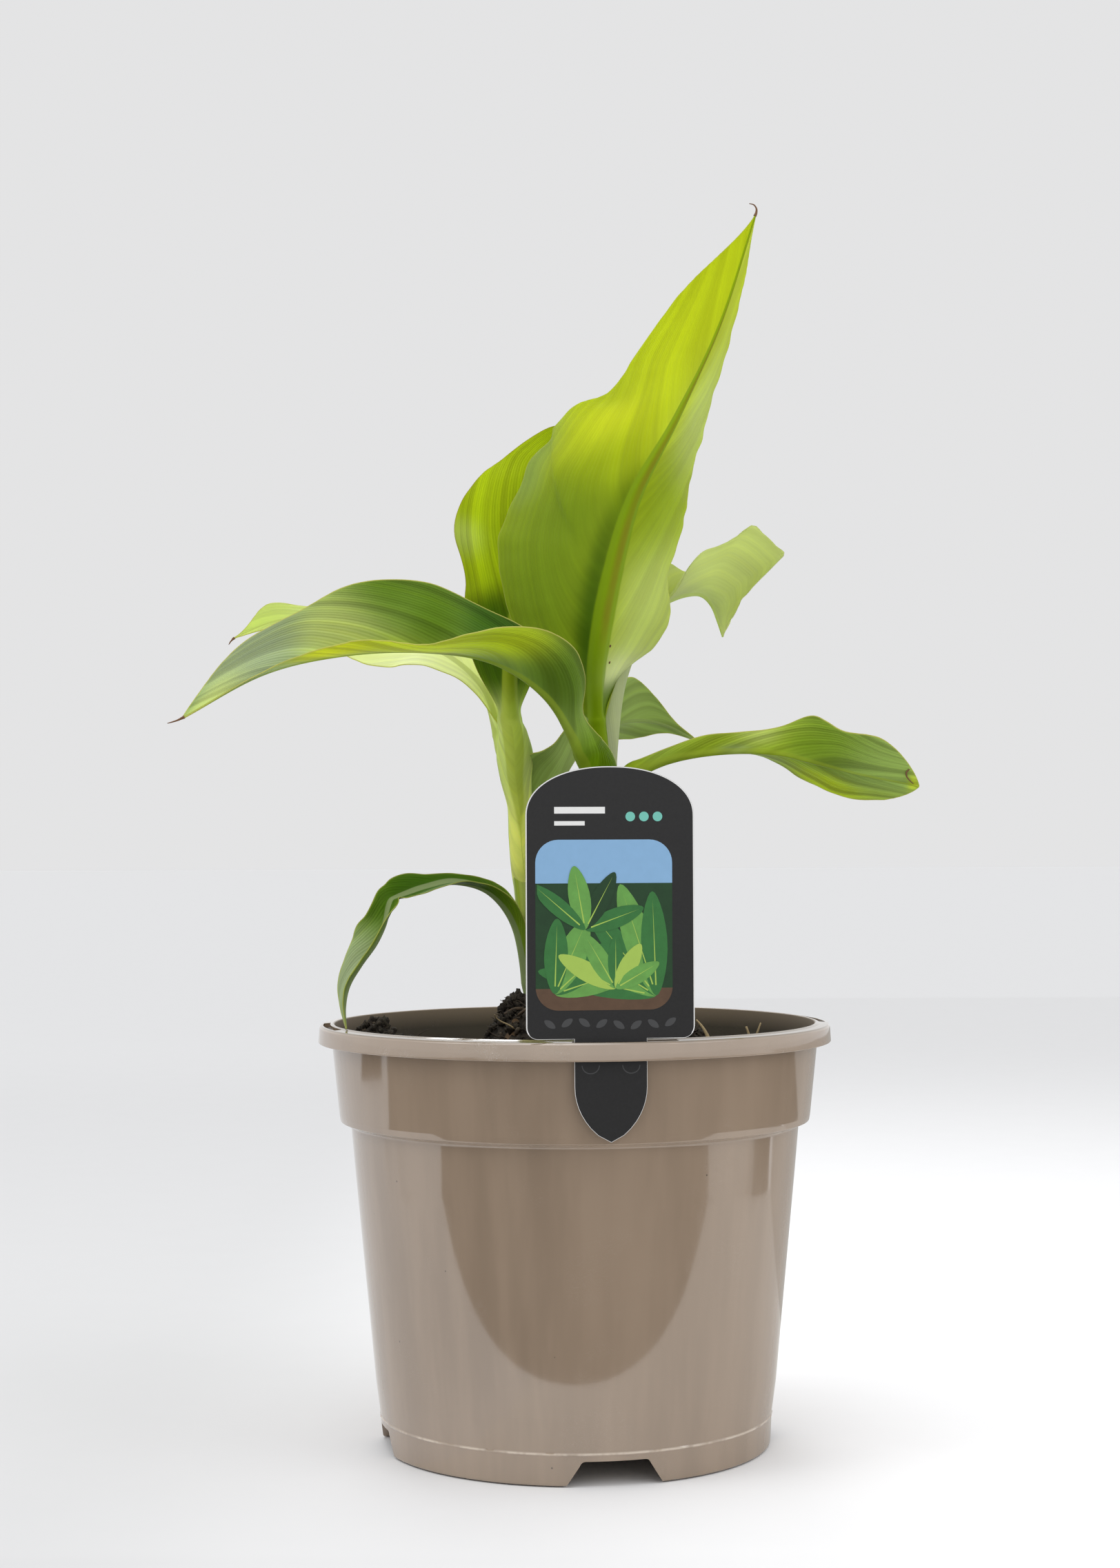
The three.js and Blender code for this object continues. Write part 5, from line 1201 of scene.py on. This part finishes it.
# ------------------------------------------------------------------ label
LABEL_TURN, LABEL_R = 7.7, 105.9
CARD_W, CARD_Z0, CARD_H, CARD_ARCH, CARD_CORNER = 66.5, 179.3, 106.4, 19.5, 4.6
TONGUE_W, TONGUE_LOW, TONGUE_STRAIGHT = 28.7, 138.9, 160.5
CARD_T = 0.5


def card_outline(grow=0.0):
    w, top = CARD_W / 2 + grow, CARD_Z0 + CARD_H + grow
    shoulder = CARD_Z0 + CARD_H - CARD_ARCH
    c, tw = CARD_CORNER, TONGUE_W / 2 + grow
    z0 = CARD_Z0 - grow
    pts = [(w, shoulder)]
    # the arch: a flat ellipse
    for a in np.linspace(0, math.pi, 61)[1:-1]:
        ca, sa = math.cos(a), math.sin(a)
        pts.append((w * math.copysign(abs(ca) ** 0.92, ca), shoulder + (top - shoulder) * abs(sa) ** 0.92))
    pts.append((-w, shoulder))
    for a in np.linspace(math.pi, 1.5 * math.pi, 9):
        pts.append((-w + c + c * math.cos(a), z0 + c + c * math.sin(a)))
    pts.append((-tw, z0))
    pts.append((-tw, TONGUE_STRAIGHT))
    for a in np.linspace(0, 1, 9)[1:]:
        pts.append((-tw * (1 - a * a) ** 0.72 if a < 1 else 0.0, TONGUE_STRAIGHT - (TONGUE_STRAIGHT - TONGUE_LOW + grow) * a))
    for a in np.linspace(1, 0, 9)[1:]:
        pts.append((tw * (1 - a * a) ** 0.72, TONGUE_STRAIGHT - (TONGUE_STRAIGHT - TONGUE_LOW + grow) * a))
    pts.append((tw, z0))
    for a in np.linspace(1.5 * math.pi, 2 * math.pi, 9):
        pts.append((w - c + c * math.cos(a), z0 + c + c * math.sin(a)))
    return pts


def on_card(x, z, out):
    """The place of a point on the card: x across, z up, out towards the front."""
    a = LABEL_TURN * DEG
    y = -LABEL_R - out
    return (x * math.cos(a) - y * math.sin(a), x * math.sin(a) + y * math.cos(a), z)


def flat_piece(outline, out, thick=0.06):
    """A thin print or card piece of an outline given as (across, up)."""
    import mathutils.geometry as mg
    n = len(outline)
    co = np.array([on_card(x, z, out + thick) for x, z in outline] + [on_card(x, z, out) for x, z in outline])
    tri = mg.tessellate_polygon([[Vector((x, z, 0)) for x, z in outline]])
    area = sum(outline[i][0] * outline[(i + 1) % n][1] - outline[(i + 1) % n][0] * outline[i][1] for i in range(n))
    front, back = [], []
    for a, b, c in tri:
        (ax, ay), (bx, by), (cx, cy) = outline[a], outline[b], outline[c]
        if (bx - ax) * (cy - ay) - (by - ay) * (cx - ax) < 0:
            a, b, c = a, c, b
        front.append([a, b, c])
        back.append([n + a, n + c, n + b])
    quads = []
    for i in range(n):
        j = (i + 1) % n
        quads.append([i, n + i, n + j, j] if area > 0 else [i, j, n + j, n + i])
    return co, np.array(quads), np.array(front + back)


def ellipse(cx, cz, rx, rz, turn=0.0, pts=28, point=0.0):
    """An oval or, with point, a leaf shape."""
    out = []
    for q in np.arange(pts) / pts * 2 * math.pi:
        x, z = rx * math.cos(q), rz * math.sin(q) * (1 - point * abs(math.cos(q)) ** 2)
        c, s = math.cos(turn * DEG), math.sin(turn * DEG)
        out.append((cx + x * c - z * s, cz + x * s + z * c))
    return out


def label_piece():
    outline = card_outline()
    co, quads, tris = flat_piece(outline, -CARD_T / 2, CARD_T)
    # faces of the cut edge take the pale material
    slots = [1] * len(quads) + [0] * len(tris)
    face = plain_material("card_black", (0.0165, 0.0162, 0.0168), 0.42, 0.25, 900.0, 0.4, 0.00004)
    cut = plain_material("card_edge", (0.8, 0.8, 0.79), 0.5, 0.05)
    ob = mesh_object("label_card", co, quads, tris, [face, cut], slots, smooth=False)
    finish_piece(ob, "label_card", "plant_label")

    front = CARD_T / 2 + 0.02
    groups = {"sky": [], "deep": [], "mid": [], "light": [], "lime": [], "earth": [], "grey": [], "white": [], "teal": [], "line": []}
    # a fine pale line follows the card's edge
    outer = card_outline(-0.03)
    n = len(outer)
    pts = np.array(outer)
    to = unit(np.roll(pts, -1, 0) - pts)
    side = np.stack([-to[:, 1], to[:, 0]], -1)
    inward = unit(side + np.roll(side, 1, 0))
    inner = pts + inward * np.where(pts[:, 1] > CARD_Z0 + 1.5, 0.4, 0.14)[:, None]
    co = np.array([on_card(x, z, front) for x, z in pts] + [on_card(x, z, front) for x, z in inner])
    ring = np.array([[i, (i + 1) % n, n + (i + 1) % n, n + i] for i in range(n)])
    groups["line"].append((co, ring, ()))
    # the picture's place: an oblong panel with round corners, of sky, ground and broad leaf shapes
    L, R, B, T, c = -29.5, 24.5, 190.5, 257.0, 9.0

    def panel(z0, z1):
        pts = []
        for cx, cz, a0 in ((R - c, T - c, 0), (L + c, T - c, 90), (L + c, B + c, 180), (R - c, B + c, 270)):
            pts += [(cx + c * math.cos((a0 + a) * DEG), cz + c * math.sin((a0 + a) * DEG)) for a in range(0, 91, 10)]
        return [(x, min(max(z, z0), z1)) for x, z in pts]

    def tidy(pts):
        out = []
        for p in pts:
            if not out or math.hypot(p[0] - out[-1][0], p[1] - out[-1][1]) > 0.01:
                out.append(p)
        if math.hypot(out[0][0] - out[-1][0], out[0][1] - out[-1][1]) < 0.01:
            out.pop()
        return out

    groups["sky"].append(flat_piece(tidy(panel(236, 300)), front, 0.02))
    groups["deep"].append(flat_piece(tidy(panel(0, 240)), front + 0.01, 0.02))
    groups["earth"].append(flat_piece(tidy(panel(0, 199)), front + 0.03, 0.02))
    r = np.random.default_rng(51)

    def fan(cx, cz, reach, angles, wide, group, lift):
        for k, a in enumerate(angles):
            ln = reach * r.uniform(0.8, 1.1)
            mx, mz = cx + ln / 2 * math.cos(a * DEG), cz + ln / 2 * math.sin(a * DEG)
            g = group[k % len(group)]
            shape = ellipse(mx, mz, ln / 2, wide * r.uniform(0.8, 1.15), a, 26, 0.25)
            shape = [(min(max(x, L + 0.6), R - 0.6), min(max(z, B + 0.6), T - 0.6)) for x, z in shape]
            groups[g].append(flat_piece(tidy(shape), front + lift + 0.006 * k, 0.012))
            rib = [(cx + ln * 0.1 * math.cos(a * DEG), cz + ln * 0.1 * math.sin(a * DEG)), (cx + ln * 0.92 * math.cos(a * DEG), cz + ln * 0.92 * math.sin(a * DEG))]
            nx_, nz_ = -math.sin(a * DEG) * 0.28, math.cos(a * DEG) * 0.28
            line = [(rib[0][0] - nx_, rib[0][1] - nz_), (rib[1][0], rib[1][1]), (rib[0][0] + nx_, rib[0][1] + nz_)]
            line = [(min(max(x, L + 0.6), R - 0.6), min(max(z, B + 0.6), T - 0.6)) for x, z in line]
            groups["lime"].append(flat_piece(tidy(line), front + lift + 0.006 * k + 0.013, 0.006))

    fan(18, 196, 44, (168, 148, 128, 108, 92), 5.4, ("mid", "light"), 0.06)
    fan(-22, 197, 34, (18, 42, 66, 88), 5.0, ("light", "mid"), 0.11)
    fan(2, 199, 24, (150, 120, 90, 60, 30), 3.8, ("lime", "light", "mid"), 0.16)
    fan(-10, 222, 26, (20, 62, 100, 140), 4.2, ("mid", "deep", "light"), 0.2)
    # plain pale bars and dots in place of words, faint ovals along the foot
    for x0, x1, z, h in ((-22, -2, 268.5, 2.6), (-22, -10, 263.4, 1.7)):
        groups["white"].append(flat_piece([(x0, z - h / 2), (x1, z - h / 2), (x1, z + h / 2), (x0, z + h / 2)], front, 0.03))
    for k in range(3):
        groups["teal"].append(flat_piece(ellipse(8 + 5.4 * k, 266, 1.9, 1.9), front, 0.03))
    for k in range(8):
        groups["grey"].append(flat_piece(ellipse(-24 + 6.8 * k, 185.2 + 0.6 * math.sin(k), 2.6, 1.3, 35 if k % 2 else -35, 20, 0.3), front, 0.02))
    for x in (-8.0, 8.0):    # small barbs' outlines on the tongue, under the rim
        arc_out = [(x + 3.6 * math.cos(a), 171 - 3.4 * math.sin(a) - 2) for a in np.linspace(0, math.pi, 15)]
        arc_in = [(x + 3.2 * math.cos(a), 171 - 3.0 * math.sin(a) - 2) for a in np.linspace(math.pi, 0, 15)]
        groups["grey"].append(flat_piece(arc_out + arc_in, front, 0.03))
    paints = dict(sky=(0.22, 0.40, 0.62), deep=(0.012, 0.05, 0.016), mid=(0.03, 0.16, 0.035), light=(0.12, 0.32, 0.06), lime=(0.34, 0.50, 0.08),
                  earth=(0.10, 0.055, 0.03), grey=(0.055, 0.056, 0.058), white=(0.75, 0.75, 0.74), teal=(0.16, 0.50, 0.42), line=(0.72, 0.72, 0.71))
    for key, parts in groups.items():
        co, quads, tris = join(parts)
        mat = plain_material("print_" + key, paints[key], 0.45, 0.22 if key in ("deep", "mid", "light", "earth") else 0.05, 260.0)
        finish_piece(mesh_object("print_" + key, co, quads, tris, [mat], smooth=False), "label_card")


label_piece()


# ------------------------------------------------------------------ floor, light and camera
def stage_plane(name, lo, hi, z, mat):
    co = [(lo[0], lo[1], z), (hi[0], lo[1], z), (hi[0], hi[1], z), (lo[0], hi[1], z)]
    me = bpy.data.meshes.new(name)
    me.from_pydata([(x * MM, y * MM, zz * MM) for x, y, zz in co], [], [(0, 1, 2, 3)])
    me.materials.append(mat)
    ob = bpy.data.objects.new(name, me)
    bpy.context.scene.collection.objects.link(ob)
    return ob


def floor_material():
    """A plain pale cloth, a touch darker under the lights, so that it looks even."""
    m = Nodes("floor_pale")
    far = m.node("ShaderNodeVectorMath", operation="LENGTH")
    m.put(far.inputs[0], m.place())
    side = m.node("ShaderNodeSeparateXYZ")
    m.put(side.inputs[0], m.place())
    near = m.ramp(side.outputs["X"], -0.22, 0.12, 0.64, 0.93)
    shade = m.ramp(far.outputs["Value"], 0.2, 2.2, near, 0.842)
    grain = m.noise(m.place(), 30.0, 3.0, 0.6)
    colour = m.bright((0.995, 1.0, 1.015), m.mul(shade, m.add(0.99, m.mul(grain, 0.02))))
    return m.done(m.surface(colour, 0.8, spec=0.1))


stage_plane("floor", (-20000, -20000), (20000, 20000), -0.5, floor_material())
# Painted reflection: dark cards lie on the floor, over the pale cloth too, and only glossy surfaces see them, so that
# the pot reflects a dark room beyond the cloth.
dark = plain_material("dark_painted_reflection", (0.03, 0.028, 0.026), 0.9, 0.1, 20.0, 0.05)
DARK_REFLECTION_CARDS = [(-1900, -1900, 1900, -181), (-1900, -181, -500, 60), (510, -181, 1900, 120), (-1900, 120, -780, 420), (620, 120, 1900, 560),
         (505, 60, 585, 200), (-560, 70, -515, 170)]
# painted reflection: grey for a card behind and to the right that only glossy surfaces see
dim = plain_material("dim_painted_reflection", (0.43, 0.42, 0.405), 0.9, 0.1, 20.0, 0.05)


# painted reflection: a card beside the pot that only glossy surfaces see, pale on the left and greyer to the right,
# dims what the pot's right side reflects
def mid_reflection_material():
    m = Nodes("mid_painted_reflection")
    side = m.node("ShaderNodeSeparateXYZ")
    m.put(side.inputs[0], m.place())
    grain = m.noise(m.place(), 30.0, 3.0, 0.6)
    shade = m.ramp(side.outputs["X"], -0.05, 0.2, 0.84, 0.6)
    return m.done(m.surface(m.bright((1.0, 0.98, 0.955), m.mul(shade, m.add(0.99, m.mul(grain, 0.02)))), 0.8, spec=0.05))


mid = mid_reflection_material()
# painted reflection: two grey cards, seen only in glossy reflections, dim the floor that the pot's right side reflects
DIM_REFLECTION_CARDS = [(130, 230, 3000, 3000), (-60, -181, 510, 230)]
for k, (x0, y0, x1, y1) in enumerate(DARK_REFLECTION_CARDS + DIM_REFLECTION_CARDS):
    card = stage_plane("dark_card_%d" % k, (x0, y0), (x1, y1), 1.0 if k < len(DARK_REFLECTION_CARDS) else 0.5, dark if k < len(DARK_REFLECTION_CARDS) else (dim if k == len(DARK_REFLECTION_CARDS) else mid))
    for ray in ("camera", "diffuse", "transmission", "shadow", "volume_scatter"):
        setattr(card, "visible_" + ray, False)


def area_light(name, place, target, size, power, spread=180, colour=(1, 1, 1)):
    data = bpy.data.lights.new(name, "AREA")
    data.spread = spread * DEG
    data.shape = "RECTANGLE"
    data.size, data.size_y = size
    data.energy = power
    data.color = colour
    ob = bpy.data.objects.new(name, data)
    bpy.context.scene.collection.objects.link(ob)
    ob.location = place
    ob.rotation_euler = (Vector(target) - Vector(place)).to_track_quat("-Z", "Y").to_euler()
    return ob


area_light("key_left", (-2.2, -0.9, 2.6), (0, 0, 0.25), (1.8, 1.8), 1.9, 45)
area_light("fill_right", (2.0, -1.2, 1.6), (0, 0, 0.25), (1.5, 1.5), 0.9, 50)
area_light("back_high", (-0.5, 2.2, 2.4), (0, 0, 0.35), (1.6, 1.2), 1.7, 45)
area_light("top_soft", (-0.3, -0.5, 2.8), (0, 0, 0.3), (1.6, 1.6), 1.3, 50)

world = bpy.data.worlds.new("studio")
bpy.context.scene.world = world
world.use_nodes = True
wt = world.node_tree
wt.nodes.clear()
w_out = wt.nodes.new("ShaderNodeOutputWorld")
w_seen, w_light = wt.nodes.new("ShaderNodeBackground"), wt.nodes.new("ShaderNodeBackground")
w_mix, w_path = wt.nodes.new("ShaderNodeMixShader"), wt.nodes.new("ShaderNodeLightPath")
w_seen.inputs["Color"].default_value = (0.775, 0.775, 0.78, 1)
w_seen.inputs["Strength"].default_value = 1.0
w_light.inputs["Color"].default_value = (1.0, 1.0, 1.0, 1)
w_light.inputs["Strength"].default_value = 0.92
wt.links.new(w_path.outputs["Is Camera Ray"], w_mix.inputs[0])
wt.links.new(w_light.outputs[0], w_mix.inputs[1])
wt.links.new(w_seen.outputs[0], w_mix.inputs[2])
wt.links.new(w_mix.outputs[0], w_out.inputs["Surface"])
bpy.context.scene.view_settings.view_transform = "Standard"

# The camera stands where the ellipses of the pot's rim, collar and foot put it.
FOCAL_PX, DISTANCE, HEIGHT = 3723.094, 1108.57, 258.02
PITCH, YAW, ROLL = 1.18657 * DEG, -0.30033 * DEG, -0.22298 * DEG
cam_data = bpy.data.cameras.new("camera")
cam_data.sensor_fit = "VERTICAL"
cam_data.sensor_height = 36.0
cam_data.lens = FOCAL_PX / 2274 * 36.0
cam_data.clip_start, cam_data.clip_end = 0.05, 60
cam = bpy.data.objects.new("camera", cam_data)
bpy.context.scene.collection.objects.link(cam)
fw = Vector((math.sin(YAW) * math.cos(PITCH), math.cos(YAW) * math.cos(PITCH), math.sin(PITCH)))
right = fw.cross(Vector((0, 0, 1))).normalized()
up = right.cross(fw)
r2 = right * math.cos(ROLL) + up * math.sin(ROLL)
u2 = -right * math.sin(ROLL) + up * math.cos(ROLL)
turn = Matrix((r2, u2, -fw)).transposed().to_4x4()
cam.matrix_world = Matrix.Translation(Vector((SHIFT[0], SHIFT[1] - DISTANCE * MM, SHIFT[2] + HEIGHT * MM))) @ turn
bpy.context.scene.camera = cam

bpy.context.view_layer.update()
